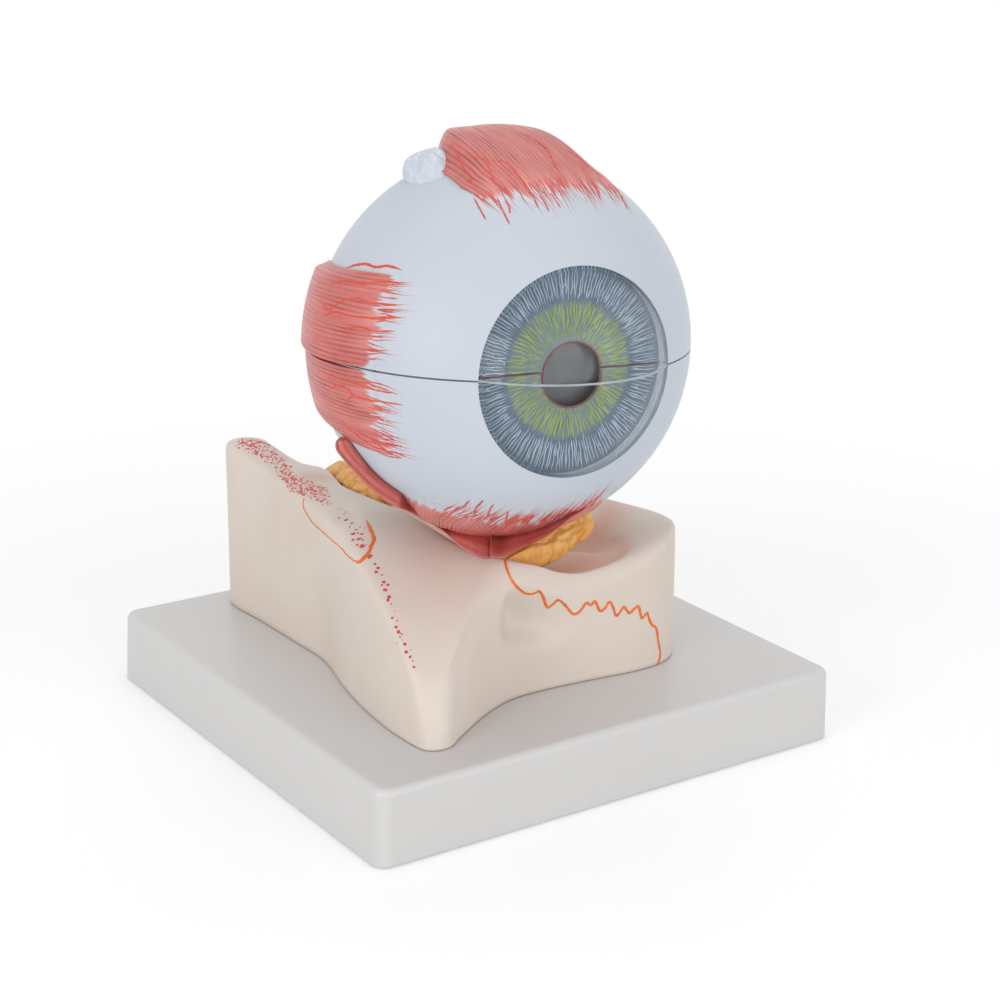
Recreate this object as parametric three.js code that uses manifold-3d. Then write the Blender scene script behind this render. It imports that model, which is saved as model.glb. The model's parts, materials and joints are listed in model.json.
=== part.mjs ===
// Teaching model of the human eye, five times life size, seated in a cast bony orbit on a base plate.
// Millimetres, +Z up. The eye looks along -Y, +X is to the right when seen from the front.
// The origin is the middle of the whole model's footprint, at the level the feet stand on.
import * as THREE from "three";
import { mergeVertices } from "three/addons/utils/BufferGeometryUtils.js";
import Module from "manifold-3d";

const wasm = await Module();
wasm.setup();

// Base plate, a hollow tray standing on rubber feet
const PLATE_WIDTH = 182;
const PLATE_DEPTH = 178.4;
const PLATE_HEIGHT = 24.8;
const PLATE_CORNER = 4.8;
const PLATE_EDGE_ROUND = 2.4;
const PLATE_WALL = 3;
const PLATE_DRAFT = 0.7;
const FOOT_RADIUS = 6;
const FOOT_THICKNESS = 2.5;
const FOOT_PROUD = 0.8;
const FOOT_INSET = 15;
const FOOT_BOSS_RADIUS = 7.5;

// Orbit casting: overall sizes, where it stands on the plate, and its screws in its own frame
const ORBIT_WIDTH = 124.4;
const ORBIT_DEPTH = 151.1;
const ORBIT_HEIGHT = 60.8;
const ORBIT_X = -1;
const ORBIT_Y = -1.5;
const SCREW_RADIUS = 2;
const SCREW_LENGTH = 15;
const SCREW_HEAD_RADIUS = 4;
const SCREW_HEAD_HEIGHT = 2.6;
const SCREW_PLACES = [
  [-38, 48],
  [42, 48],
  [-44, -36],
  [44, -32],
];

// Eyeball: ellipsoids of revolution about the optical axis, half size across and half size along it
const BALL_RADIUS = 60;
const BALL_AXIAL = 55.6;
const BALL_X = -15.7;
const BALL_Y = -40.3;
const BALL_BOTTOM_ABOVE_PLATE = 58;
const EYE_TURN_DEG = -7.5;
const EYE_TILT_DEG = -1.84;
const EYE_ROLL_DEG = 1.2;
const SCLERA_WALL = 4;
const CHOROID_WALL = 2.5;
const SHELL_PLAY = 0.5;
const SEAM = 0.3;
const CLEARANCE = 0.3;

// Front of the eye
const LIMBUS_RADIUS = 32;
const CORNEA_CURVE = 40;
const CORNEA_WALL = 1.5;
const IRIS_RADIUS = 31.2;
const IRIS_THICKNESS = 2.1;
const IRIS_FRONT = 42.9;
const PUPIL_RADIUS = 9.7;
const PUPIL_X = 1.2;
const PUPIL_Z = -1.5;
const LENS_RADIUS = 22.5;
const LENS_EDGE = 3;
const LENS_FRONT_CURVE = 50;
const LENS_BACK_CURVE = 30;
const LENS_PLAY = 1;
const GROOVE_PLAY = 0.4;
const CILIARY_LIP = 0.6;
const CILIARY_WALL = 1.8;

// Pins and nerve
const RIM_PIN_RADIUS = 1;
const RIM_PIN_LENGTH = 6;
const RIM_PIN_DEGREES = [25, 155, 205, 335];
const SEAT_PIN_RADIUS = 3;
const SEAT_PIN_BITE = 3.4;
const SEAT_PIN_LENGTH = 38;
const SEAT_PIN_X = 8;
const SEAT_PIN_Y = 6;
const NERVE_RADIUS = 9;
const NERVE_LENGTH = 16;
const NERVE_X = -11;
const NERVE_LIFT_PLAY = 1.2;
const NERVE_TAPER = 1;
const NERVE_STEPS = 24;

// Muscle slabs moulded on the eyeball: rise of each above the white of the eye
const SUPERIOR_RISE = 7;
const MEDIAL_UPPER_RISE = 2.9;
const MEDIAL_LOWER_RISE = 1.4;
const LATERAL_RISE = 2.9;
const INFERIOR_RISE = 4.4;
const MUSCLE_EDGE = 0.8;
const TENDON_RISE = 5.8;
const TENDON_REACH = [-20, -24.8, -29.3];
const TENDON_Y = 9;

// Muscles and fat of the orbit bed
const BED_PLAY = 0.5;
const OBLIQUE_RISE = [5.8, 11];
const RECTUS_BED_RISE = [8, 15];
const FAT_RADIUS = 6.4;
const HOLLOW_CENTRE = [6, 8, 16];

// How the shapes run between their given points
const WALL_LEAN_POWER = 1.6;
const WALL_TOP_SWELL = 1.2;
const BOWL_POWER = 2;
const BAND_END_SIZE = 0.35;
const BAND_END_SHARE = 0.09;
const FAT_END_SIZE = 0.45;
const FAT_END_SHARE = 0.12;
const FAT_LUMP_SHARE = 0.07;
const FAT_LUMPS_ROUND = 5;
const FAT_LUMPS_TWIST = 9;
const FAT_LUMPS_ALONG = 13;
const LEAST_HEIGHT_SHARE = 0.02;
const EVEN_CROWN_POWER = 4;
const SLOPED_CROWN_POWER = 1.2;

// Orbit casting, seen from above and going round with the back left corner first.
// Each station has its foot on the plate, its outer edge and the rim of the orbital hollow, with
// heights measured from the plate's top. They are stretched to the casting's overall sizes.
const ORBIT_STATIONS = [
  { foot: [-49.6, 79.6], edge: [-50.2, 79, 60.6], rim: [-38.5, 74, 60] },
  { foot: [-53, 76.8], edge: [-53.8, 76.4, 60.8], rim: [-38, 69, 59.5] },
  { foot: [-52.6, 55], edge: [-52.3, 55, 57], rim: [-33, 58, 55.2] },
  { foot: [-52.3, 42], edge: [-52.2, 42, 55.6], rim: [-28.8, 49, 55.2] },
  { foot: [-52, 27], edge: [-52.3, 27, 54.4], rim: [-33.5, 29, 55.2] },
  { foot: [-52, 11], edge: [-53, 9, 52.8], rim: [-33.5, 6, 56.3] },
  { foot: [-58.5, -15], edge: [-57.5, -13, 53], rim: [-31.5, -8, 56.2] },
  { foot: [-62.2, -36.5], edge: [-60, -28, 46.5], rim: [-30.5, -19, 55.5] },
  { foot: [-63.4, -56.7], edge: [-60.5, -46, 36], rim: [-28.5, -29, 53.5] },
  { foot: [-61.5, -69.5], edge: [-60, -62, 21.5], rim: [-26, -37.5, 51] },
  { foot: [-55, -71.5], edge: [-52, -64, 22], rim: [-22, -42.5, 49] },
  { foot: [-47.5, -66.7], edge: [-41, -58, 28], rim: [-18, -45.5, 47.5] },
  { foot: [-30, -56], edge: [-25, -52.5, 36], rim: [-13, -47.5, 45.5] },
  { foot: [-17, -50.8], edge: [-12, -51.5, 38], rim: [-6, -49, 43] },
  { foot: [-3, -50], edge: [-1, -51.5, 34], rim: [3, -49.5, 39.3] },
  { foot: [15, -51.3], edge: [14, -52, 32.5], rim: [13, -49.5, 37.8] },
  { foot: [34.7, -53.2], edge: [33, -53, 37], rim: [29, -48.5, 40.5] },
  { foot: [47, -51.3], edge: [46, -51, 44.5], rim: [38, -43, 45.3] },
  { foot: [55.5, -44.5], edge: [55.2, -43.5, 46.2], rim: [43.5, -35, 46] },
  { foot: [60.2, -34], edge: [59.6, -32, 45.6], rim: [44, -25, 45] },
  { foot: [61, 0], edge: [60, 0, 42.2], rim: [44, 0, 42.6] },
  { foot: [60.8, 40], edge: [60, 40, 38.5], rim: [43, 36, 39.2] },
  { foot: [58.5, 69], edge: [57, 68, 36], rim: [42, 57, 37.2] },
  { foot: [50, 78], edge: [48, 76.5, 35], rim: [36, 65, 36.4] },
  { foot: [3, 79.5], edge: [3, 78, 34], rim: [3, 69, 35] },
  { foot: [-30, 79], edge: [-30, 78, 50], rim: [-30, 72, 48] },
];

// Fineness of the round and free shapes
const ROUND_STEPS = 36;
const SHELL_STEPS = 28;
const ARC_STEPS = 11;
const SMALL_ROUND_STEPS = 12;
const STATION_STEPS = 2;
const FAT_STEPS = 10;
const FAT_SIDES = 12;
const CAP_STEPS = 5;
const BEVEL_STEPS = 3;
const CORNER_STEPS = 5;
const SIDE_SHARES = [0, 0.5, 0.9];
const TOP_SHARES = [0.06, 0.5, 0.94];
const BOWL_SHARES = [0.06, 0.2, 0.4, 0.7];

const rad = THREE.MathUtils.degToRad;
const smooth = (t) => THREE.MathUtils.smoothstep(t, 0, 1);
const material = (color, roughness, metalness = 0) =>
  new THREE.MeshStandardMaterial({ color, roughness, metalness });
const glassy = (color) =>
  new THREE.MeshStandardMaterial({ color, roughness: 0.08, transparent: true, opacity: 0.35 });

// A closed geometry as a solid that can be joined and cut
function solidFrom(geometry) {
  const bare = geometry.index ? geometry.toNonIndexed() : geometry.clone();
  bare.deleteAttribute("normal");
  bare.deleteAttribute("uv");
  const merged = mergeVertices(bare, 1e-4);
  return new wasm.Manifold(
    new wasm.Mesh({
      numProp: 3,
      vertProperties: new Float32Array(merged.attributes.position.array),
      triVerts: new Uint32Array(merged.index.array),
    }),
  );
}

function geometryFrom(solid) {
  const mesh = solid.getMesh();
  const geometry = new THREE.BufferGeometry();
  geometry.setAttribute("position", new THREE.BufferAttribute(new Float32Array(mesh.vertProperties), 3));
  geometry.setIndex(new THREE.BufferAttribute(new Uint32Array(mesh.triVerts), 1));
  geometry.computeVertexNormals();
  return geometry;
}

function piece(parent, name, shape, look) {
  const geometry = shape.isBufferGeometry ? shape : geometryFrom(shape);
  const mesh = new THREE.Mesh(geometry, look);
  mesh.name = name;
  parent.add(mesh);
  return mesh;
}

// Upright cylinder from z0 to z1 with its axis at x, y
function post(radius, x, y, z0, z1, steps = SMALL_ROUND_STEPS) {
  const geometry = new THREE.CylinderGeometry(radius, radius, z1 - z0, steps);
  geometry.rotateX(Math.PI / 2);
  geometry.translate(x, y, (z0 + z1) / 2);
  return solidFrom(geometry);
}

// Closed skin between two grids of points: upper(u, v) and lower(u, v) for u, v from 0 to 1
function slab(nu, nv, upper, lower) {
  const positions = [];
  const index = [];
  const id = (side, i, j) => side * (nu + 1) * (nv + 1) + i * (nv + 1) + j;
  [upper, lower].forEach((at) => {
    for (let i = 0; i <= nu; i++) {
      for (let j = 0; j <= nv; j++) {
        positions.push(...at(i / nu, j / nv));
      }
    }
  });
  const quad = (a, b, c, d) => index.push(a, b, c, a, c, d);
  for (let i = 0; i < nu; i++) {
    for (let j = 0; j < nv; j++) {
      quad(id(0, i, j), id(0, i + 1, j), id(0, i + 1, j + 1), id(0, i, j + 1));
      quad(id(1, i, j), id(1, i, j + 1), id(1, i + 1, j + 1), id(1, i + 1, j));
    }
    quad(id(0, i, 0), id(1, i, 0), id(1, i + 1, 0), id(0, i + 1, 0));
    quad(id(0, i + 1, nv), id(1, i + 1, nv), id(1, i, nv), id(0, i, nv));
  }
  for (let j = 0; j < nv; j++) {
    quad(id(0, 0, j + 1), id(1, 0, j + 1), id(1, 0, j), id(0, 0, j));
    quad(id(0, nu, j), id(1, nu, j), id(1, nu, j + 1), id(0, nu, j + 1));
  }
  return facingOut(positions, index);
}

// Geometry from points and triangles, turned over if its faces point inwards
function facingOut(positions, index) {
  const geometry = new THREE.BufferGeometry();
  geometry.setAttribute("position", new THREE.Float32BufferAttribute(positions, 3));
  let volume = 0;
  const a = new THREE.Vector3();
  const b = new THREE.Vector3();
  const c = new THREE.Vector3();
  for (let i = 0; i < index.length; i += 3) {
    a.fromArray(positions, 3 * index[i]);
    b.fromArray(positions, 3 * index[i + 1]);
    c.fromArray(positions, 3 * index[i + 2]);
    volume += a.dot(b.cross(c));
  }
  if (volume < 0) index.reverse();
  geometry.setIndex(index);
  geometry.computeVertexNormals();
  return geometry;
}

// Solid of revolution about the optical axis from [radius, y] points
function turned(profile, steps = ROUND_STEPS) {
  const points = profile.map(([r, y]) => new THREE.Vector2(r, y));
  points.push(points[0].clone());
  const positions = [];
  const index = [];
  const lathe = mergeVertices(bareLathe(points, steps), 1e-4);
  positions.push(...lathe.attributes.position.array);
  for (let i = 0; i < lathe.index.count; i += 3) {
    const [p, q, r] = [0, 1, 2].map((k) => lathe.index.getX(i + k));
    if (p !== q && q !== r && r !== p) index.push(p, q, r);
  }
  return solidFrom(facingOut(positions, index));
}

function bareLathe(points, steps) {
  const geometry = new THREE.LatheGeometry(points, steps);
  geometry.deleteAttribute("normal");
  geometry.deleteAttribute("uv");
  return geometry;
}

// Points [radius, y] of the ellipse with half sizes across and along. The angles from and to are in
// degrees, 0 at the back pole and 180 at the front pole.
function ellipseArc(across, along, from, to, steps = ARC_STEPS) {
  const points = [];
  for (let i = 0; i <= steps; i++) {
    const angle = rad(THREE.MathUtils.lerp(from, to, i / steps));
    points.push([Math.abs(across * Math.sin(angle)), along * Math.cos(angle)]);
  }
  points.forEach((p) => {
    if (p[0] < 1e-6) p[0] = 0;
  });
  return points;
}

// Angle from the back pole at which the ellipse is cut by a plane at y, or by a cylinder of a radius
const angleAtY = (along, y) => THREE.MathUtils.radToDeg(Math.acos(y / along));
const angleAtRadius = (across, r) => 180 - THREE.MathUtils.radToDeg(Math.asin(r / across));

// Everything above (side 1) or below (side -1) the cut plane, less half the seam
function halfOf(solid, side) {
  const reach = 4 * BALL_RADIUS;
  const cut = new THREE.BoxGeometry(reach, reach, reach);
  cut.translate(0, 0, -side * (reach / 2 - SEAM / 2));
  return solid.subtract(solidFrom(cut));
}

// Base plate with feet and screws
const root = new THREE.Group();
const base = new THREE.Group();
base.position.z = FOOT_PROUD;
root.add(base);

function roundedRectangle(width, depth, corner) {
  const shape = new THREE.Shape();
  const x = width / 2;
  const y = depth / 2;
  shape.moveTo(-x + corner, -y);
  shape.lineTo(x - corner, -y);
  shape.absarc(x - corner, -y + corner, corner, -Math.PI / 2, 0);
  shape.lineTo(x, y - corner);
  shape.absarc(x - corner, y - corner, corner, 0, Math.PI / 2);
  shape.lineTo(-x + corner, y);
  shape.absarc(-x + corner, y - corner, corner, Math.PI / 2, Math.PI);
  shape.lineTo(-x, -y + corner);
  shape.absarc(-x + corner, -y + corner, corner, Math.PI, 1.5 * Math.PI);
  return shape;
}

function drafted(geometry) {
  const p = geometry.attributes.position;
  for (let i = 0; i < p.count; i++) {
    const share = p.getZ(i) / PLATE_HEIGHT;
    p.setX(i, p.getX(i) * (1 - (share * 2 * PLATE_DRAFT) / PLATE_WIDTH));
    p.setY(i, p.getY(i) * (1 - (share * 2 * PLATE_DRAFT) / PLATE_DEPTH));
  }
  return geometry;
}

function plateSolid() {
  const round = PLATE_EDGE_ROUND;
  const outline = roundedRectangle(
    PLATE_WIDTH - 2 * round,
    PLATE_DEPTH - 2 * round,
    PLATE_CORNER - round,
  );
  const block = new THREE.ExtrudeGeometry(outline, {
    depth: PLATE_HEIGHT - round,
    bevelThickness: round,
    bevelSize: round,
    bevelSegments: BEVEL_STEPS,
    curveSegments: CORNER_STEPS,
  });
  // The lower round of the block lies below the tray's rim and is cut away
  const below = new THREE.BoxGeometry(2 * PLATE_WIDTH, 2 * PLATE_DEPTH, 2 * round);
  below.translate(0, 0, -round);
  const inside = new THREE.ExtrudeGeometry(
    roundedRectangle(
      PLATE_WIDTH - 2 * (PLATE_WALL + PLATE_DRAFT),
      PLATE_DEPTH - 2 * (PLATE_WALL + PLATE_DRAFT),
      PLATE_CORNER - PLATE_WALL,
    ),
    { depth: PLATE_HEIGHT - PLATE_WALL + round, bevelEnabled: false, curveSegments: CORNER_STEPS },
  );
  inside.translate(0, 0, -round);
  let tray = solidFrom(drafted(block)).subtract(solidFrom(below)).subtract(solidFrom(inside));
  footPlaces().forEach(([x, y]) => {
    const lower = FOOT_THICKNESS - FOOT_PROUD + CLEARANCE;
    tray = tray.add(post(FOOT_BOSS_RADIUS, x, y, lower, PLATE_HEIGHT - PLATE_WALL / 2));
  });
  SCREW_PLACES.forEach(([x, y]) => {
    const [across, along] = [x + ORBIT_X, y + ORBIT_Y];
    tray = tray.subtract(post(SCREW_RADIUS + CLEARANCE, across, along, 0, PLATE_HEIGHT + 1));
  });
  return tray;
}

function footPlaces() {
  const x = PLATE_WIDTH / 2 - FOOT_INSET;
  const y = PLATE_DEPTH / 2 - FOOT_INSET;
  return [
    [-x, -y],
    [x, -y],
    [-x, y],
    [x, y],
  ];
}

const plateLook = material(0xd6d5d8, 0.35);
const rubberLook = material(0x2b2b2d, 0.8);
const steelLook = material(0xc0c0c4, 0.25, 1);
piece(base, "base_plate", plateSolid(), plateLook);

const FOOT_NAMES = ["foot_front_left", "foot_front_right", "foot_back_left", "foot_back_right"];
footPlaces().forEach(([x, y], i) => {
  const foot = post(FOOT_RADIUS, x, y, -FOOT_PROUD, FOOT_THICKNESS - FOOT_PROUD);
  piece(base, FOOT_NAMES[i], foot, rubberLook);
});

// Orbit casting
const orbit = new THREE.Group();
orbit.position.set(ORBIT_X, ORBIT_Y, PLATE_HEIGHT);
base.add(orbit);

function screwSolid(x, y) {
  const seat = -PLATE_WALL - CLEARANCE;
  const head = post(SCREW_HEAD_RADIUS, x, y, seat - SCREW_HEAD_HEIGHT, seat);
  return head.add(post(SCREW_RADIUS, x, y, seat - SCREW_HEAD_HEIGHT / 2, seat + SCREW_LENGTH));
}

SCREW_PLACES.forEach(([x, y], i) => {
  piece(orbit, "orbit_screw_" + (i + 1), screwSolid(x, y), steelLook);
});

const closedCurve = (points) =>
  new THREE.CatmullRomCurve3(points.map(([x, y, z]) => new THREE.Vector3(x, y, z)), true, "centripetal");

// Rings of points from the foot, up the side, over the rim and down to the middle of the hollow
function orbitRings(steps, sideShares, topShares, bowlShares) {
  const foot = ringOf(ORBIT_STATIONS.map((s) => [...stretched(s.foot), CLEARANCE]), steps);
  const edge = ringOf(ORBIT_STATIONS.map((s) => stretched(s.edge)), steps);
  const rim = ringOf(ORBIT_STATIONS.map((s) => stretched(s.rim)), steps);
  const centre = new THREE.Vector3(...stretched(HOLLOW_CENTRE));
  const rings = [];
  sideShares.forEach((t) => rings.push(foot.map((p, i) => sideAt(p, edge[i], rim[i], t))));
  topShares.forEach((t) => rings.push(foot.map((p, i) => topAt(p, edge[i], rim[i], t))));
  bowlShares.forEach((t) => rings.push(rim.map((p) => bowlAt(p, centre, t))));
  return rings;
}

// A point of the stations, stretched to the casting's overall sizes
function stretched(point) {
  const spanOf = (values) => Math.max(...values) - Math.min(...values);
  const drawn = [
    spanOf(ORBIT_STATIONS.map((s) => s.foot[0])),
    spanOf(ORBIT_STATIONS.map((s) => s.foot[1])),
    Math.max(...ORBIT_STATIONS.map((s) => s.edge[2])),
  ];
  const sizes = [ORBIT_WIDTH, ORBIT_DEPTH, ORBIT_HEIGHT];
  return point.map((value, axis) => (value * sizes[axis]) / drawn[axis]);
}

function ringOf(points, steps) {
  const curve = closedCurve(points);
  const ring = [];
  const count = points.length * steps;
  for (let i = 0; i < count; i++) ring.push(curve.getPoint(i / count));
  return ring;
}

// Side wall: rises from the foot and leans over to meet the outer edge
function sideAt(foot, edge, rim, t) {
  const lean = t ** WALL_LEAN_POWER;
  return new THREE.Vector3(
    THREE.MathUtils.lerp(foot.x, edge.x, lean),
    THREE.MathUtils.lerp(foot.y, edge.y, lean),
    THREE.MathUtils.lerp(foot.z, edge.z, t),
  );
}

// Top of the wall: from the outer edge to the rim, a little rounded at both
function topAt(foot, edge, rim, t) {
  const p = new THREE.Vector3().lerpVectors(edge, rim, t);
  p.z += WALL_TOP_SWELL * Math.sin(Math.PI * t);
  return p;
}

// Hollow: falls steeply inside the rim and levels out towards the middle
function bowlAt(rim, centre, t) {
  const p = new THREE.Vector3().lerpVectors(rim, centre, t);
  p.z = centre.z + (rim.z - centre.z) * (1 - t) ** BOWL_POWER;
  return p;
}

function orbitGeometry() {
  const rings = orbitRings(STATION_STEPS, SIDE_SHARES, TOP_SHARES, BOWL_SHARES);
  const count = rings[0].length;
  const positions = [];
  const index = [];
  rings.forEach((ring) => ring.forEach((p) => positions.push(p.x, p.y, p.z)));
  for (let k = 0; k + 1 < rings.length; k++) {
    for (let i = 0; i < count; i++) {
      const j = (i + 1) % count;
      const [a, b] = [k * count + i, k * count + j];
      index.push(a, b, b + count, a, b + count, a + count);
    }
  }
  const middle = positions.length / 3;
  positions.push(...stretched(HOLLOW_CENTRE));
  const underside = middle + 1;
  positions.push(0, 0, CLEARANCE);
  const last = (rings.length - 1) * count;
  for (let i = 0; i < count; i++) {
    const j = (i + 1) % count;
    index.push(last + i, last + j, middle);
    index.push(j, i, underside);
  }
  return facingOut(positions, index);
}

// Direction and size of a point on the white of the eye, for the muscles that lie on it
function onBall(x, y, z, rise) {
  const share = Math.hypot(x / BALL_RADIUS, z / BALL_RADIUS, y / BALL_AXIAL);
  const p = new THREE.Vector3(x / share, y / share, z / share);
  const out = new THREE.Vector3(p.x / BALL_RADIUS ** 2, p.y / BALL_AXIAL ** 2, p.z / BALL_RADIUS ** 2);
  return p.addScaledVector(out.normalize(), rise);
}

// Point of the ball seen from above (axis z) or from the side (axis x), at a distance across and along
function ballPoint(axis, sign, across, along, rise) {
  const rest = 1 - (across / BALL_RADIUS) ** 2 - (along / BALL_AXIAL) ** 2;
  const height = sign * BALL_RADIUS * Math.sqrt(Math.max(rest, LEAST_HEIGHT_SHARE));
  return axis === "z" ? onBall(across, along, height, rise) : onBall(height, along, across, rise);
}

// Muscle slab that hugs the ball: narrow at the back, fanned and feathered out at the front.
// It thins over the shares sideTaper of its width and frontTaper of its length, and a slab with a
// seamEdge keeps its full thickness along the cut plane. Its underside lies under above the ball.
function muscleSlab(shape) {
  const { axis, sign, back, front, bow, widthBack, widthFront, rise, nu, nv } = shape;
  const { sideTaper, frontTaper, seamEdge, under = CLEARANCE } = shape;
  const at = (u, v, lift) => {
    const tip = front - bow * (1 - (2 * v - 1) ** 2);
    const along = THREE.MathUtils.lerp(back, tip, u);
    const spread = smooth(u);
    const from = THREE.MathUtils.lerp(widthBack[0], widthFront[0], spread);
    const to = THREE.MathUtils.lerp(widthBack[1], widthFront[1], spread);
    return ballPoint(axis, sign, THREE.MathUtils.lerp(from, to, v), along, lift);
  };
  const thickness = (u, v) => {
    const side = smooth((seamEdge ? 1 - v : Math.min(v, 1 - v)) / sideTaper);
    return MUSCLE_EDGE + rise * side * smooth((1 - u) / frontTaper);
  };
  return slab(
    nu,
    nv,
    (u, v) => at(u, v, CLEARANCE + thickness(u, v)),
    (u, v) => at(u, v, under),
  );
}

const eye = new THREE.Group();
eye.position.set(BALL_X, BALL_Y, BALL_BOTTOM_ABOVE_PLATE + BALL_RADIUS);
eye.rotation.set(rad(EYE_TILT_DEG), rad(EYE_ROLL_DEG), rad(EYE_TURN_DEG), "ZXY");
orbit.add(eye);
eye.updateMatrix();
const eyeToOrbit = eye.matrix.clone();

// A solid made in the eye's own frame, carried into the orbit's frame
const fromEye = (solid) => solid.transform(eyeToOrbit.elements);

const INFERIOR_SLAB = {
  axis: "z",
  sign: -1,
  back: 24,
  front: -24,
  bow: 7,
  widthBack: [-15, 15],
  widthFront: [-41, 24.5],
  rise: INFERIOR_RISE,
  sideTaper: 0.16,
  frontTaper: 0.62,
  nu: 9,
  nv: 12,
};
const SUPERIOR_SLAB = {
  axis: "z",
  sign: 1,
  back: 26,
  front: -22,
  bow: 7.5,
  widthBack: [-18, 16],
  widthFront: [-21.5, 37],
  rise: SUPERIOR_RISE,
  sideTaper: 0.1,
  frontTaper: 0.75,
  nu: 10,
  nv: 14,
};
const MEDIAL_SLAB = {
  axis: "x",
  sign: -1,
  back: 22,
  front: -26,
  bow: 0,
  sideTaper: 0.25,
  frontTaper: 0.62,
  nu: 9,
  nv: 6,
  seamEdge: true,
};
const MEDIAL_UPPER = {
  widthBack: [SEAM / 2, 25],
  widthFront: [SEAM / 2, 28],
  rise: MEDIAL_UPPER_RISE,
};
const MEDIAL_LOWER = {
  widthBack: [-SEAM / 2, -20],
  widthFront: [-SEAM / 2, -27],
  rise: MEDIAL_LOWER_RISE,
};
const LATERAL_SLAB = { ...MEDIAL_SLAB, sign: 1, front: -14, rise: LATERAL_RISE };
const LATERAL_UPPER = { widthBack: [SEAM / 2, 19], widthFront: [SEAM / 2, 24] };
const LATERAL_LOWER = { widthBack: [-SEAM / 2, -19], widthFront: [-SEAM / 2, -24] };

// Thickness across a band, from one side (-1) to the other (1), as a share of its thickness
const evenCrown = (across) => Math.sqrt(Math.max(0, 1 - across ** EVEN_CROWN_POWER));
const slopedCrown = (across) => (across > 0 ? 1 - across ** SLOPED_CROWN_POWER : evenCrown(across));

// Bands of the bed and the tendon: directions are from the middle of the ball, in its own frame
const OBLIQUE_BED = {
  directions: [
    [-42, 35, -37],
    [-36, 23, -49],
    [-24, 6, -59],
    [-8, -6, -66],
  ],
  width: 13,
  inner: BALL_RADIUS + BED_PLAY,
  outer: OBLIQUE_RISE.map((rise) => BALL_RADIUS + rise),
  nu: 12,
  nv: 6,
};
const RECTUS_BED = {
  directions: [
    [8, 34, -52],
    [9, 12, -62],
    [9, -11, -62],
  ],
  width: 28,
  inner: BALL_RADIUS + BED_PLAY,
  outer: RECTUS_BED_RISE.map((rise) => BALL_RADIUS + rise),
  crown: slopedCrown,
  nu: 8,
  nv: 8,
};
const TENDON = {
  directions: TENDON_REACH.map((x) => ballPoint("z", 1, x, TENDON_Y, 0).toArray()),
  width: 22,
  inner: BALL_RADIUS + CLEARANCE,
  outer: [BALL_RADIUS + TENDON_RISE, BALL_RADIUS + TENDON_RISE],
  nu: 5,
  nv: 6,
};

// Middle lines of the fat pads, with heights measured from the plate's top
const FAT_LATERAL = [
  [-8, -39, 44.5],
  [4, -38.5, 46],
  [14, -37, 49.5],
  [23, -34.5, 51.5],
];
const FAT_MEDIAL = [
  [-18, 60, 48],
  [-24, 38, 50],
  [-27.5, 12, 51.5],
];

// Band that hugs the ball along the given directions, thin at its sides and rounded at its ends.
// grow makes it larger all round, for the room that its neighbours leave it.
function bedBand({ directions, width, inner, outer, crown = evenCrown, nu, nv }, grow = 0) {
  const curve = new THREE.CatmullRomCurve3(directions.map((d) => new THREE.Vector3(...d)));
  const at = (u, v, level) => {
    const centre = curve.getPoint(u).normalize();
    const run = curve.getTangent(u);
    const side = new THREE.Vector3().crossVectors(run, centre).normalize();
    const ends = Math.min(u, 1 - u);
    const taper = THREE.MathUtils.lerp(BAND_END_SIZE, 1, Math.sqrt(Math.min(1, ends / BAND_END_SHARE)));
    const across = 2 * v - 1;
    const reach = (width / 2 + grow) * across * taper;
    const d = centre.addScaledVector(side, reach / BALL_RADIUS).normalize();
    const edge = inner + MUSCLE_EDGE;
    const top = THREE.MathUtils.lerp(outer[0], outer[1], u);
    const r = level === 0 ? inner - grow : edge + (top - edge) * crown(across) * taper + grow;
    return d.multiplyScalar(r);
  };
  return slab(
    nu,
    nv,
    (u, v) => at(u, v, 1),
    (u, v) => at(u, v, 0),
  );
}

// Lumpy pad of fat along a curve, closed at both ends
function fatPad(points) {
  const curve = new THREE.CatmullRomCurve3(points.map((p) => new THREE.Vector3(...p)));
  const positions = [];
  const index = [];
  const up = new THREE.Vector3(0, 0, 1);
  const steps = FAT_STEPS;
  const sides = FAT_SIDES;
  for (let i = 0; i <= steps; i++) {
    const u = i / steps;
    const centre = curve.getPoint(u);
    const side = new THREE.Vector3().crossVectors(curve.getTangent(u), up).normalize();
    const fullness = Math.sqrt(Math.min(1, Math.min(u, 1 - u) / FAT_END_SHARE));
    const size = FAT_RADIUS * THREE.MathUtils.lerp(FAT_END_SIZE, 1, fullness);
    for (let j = 0; j < sides; j++) {
      const angle = (2 * Math.PI * j) / sides;
      const lump = Math.sin(FAT_LUMPS_ROUND * angle + FAT_LUMPS_TWIST * u) * Math.cos(FAT_LUMPS_ALONG * u);
      const r = size * (1 + FAT_LUMP_SHARE * lump);
      const p = centre.clone().addScaledVector(side, r * Math.cos(angle));
      positions.push(p.x, p.y, p.z + r * Math.sin(angle));
    }
  }
  for (let i = 0; i < steps; i++) {
    for (let j = 0; j < sides; j++) {
      const [a, b] = [i * sides + j, i * sides + ((j + 1) % sides)];
      index.push(a, b, b + sides, a, b + sides, a + sides);
    }
  }
  [0, steps].forEach((i) => {
    const c = curve.getPoint(i / steps);
    positions.push(c.x, c.y, c.z);
    const middle = positions.length / 3 - 1;
    for (let j = 0; j < sides; j++) {
      const [a, b] = [i * sides + j, i * sides + ((j + 1) % sides)];
      if (i) index.push(a, b, middle);
      else index.push(b, a, middle);
    }
  });
  return solidFrom(facingOut(positions, index));
}

const boneLook = material(0xdccbbe, 0.5);
const muscleLook = material(0xc9605c, 0.45);
const fatLook = material(0xe0a040, 0.4);
const whiteLook = material(0xd3d9e2, 0.18);
const nerveLook = material(0xe6d9a8, 0.4);

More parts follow.
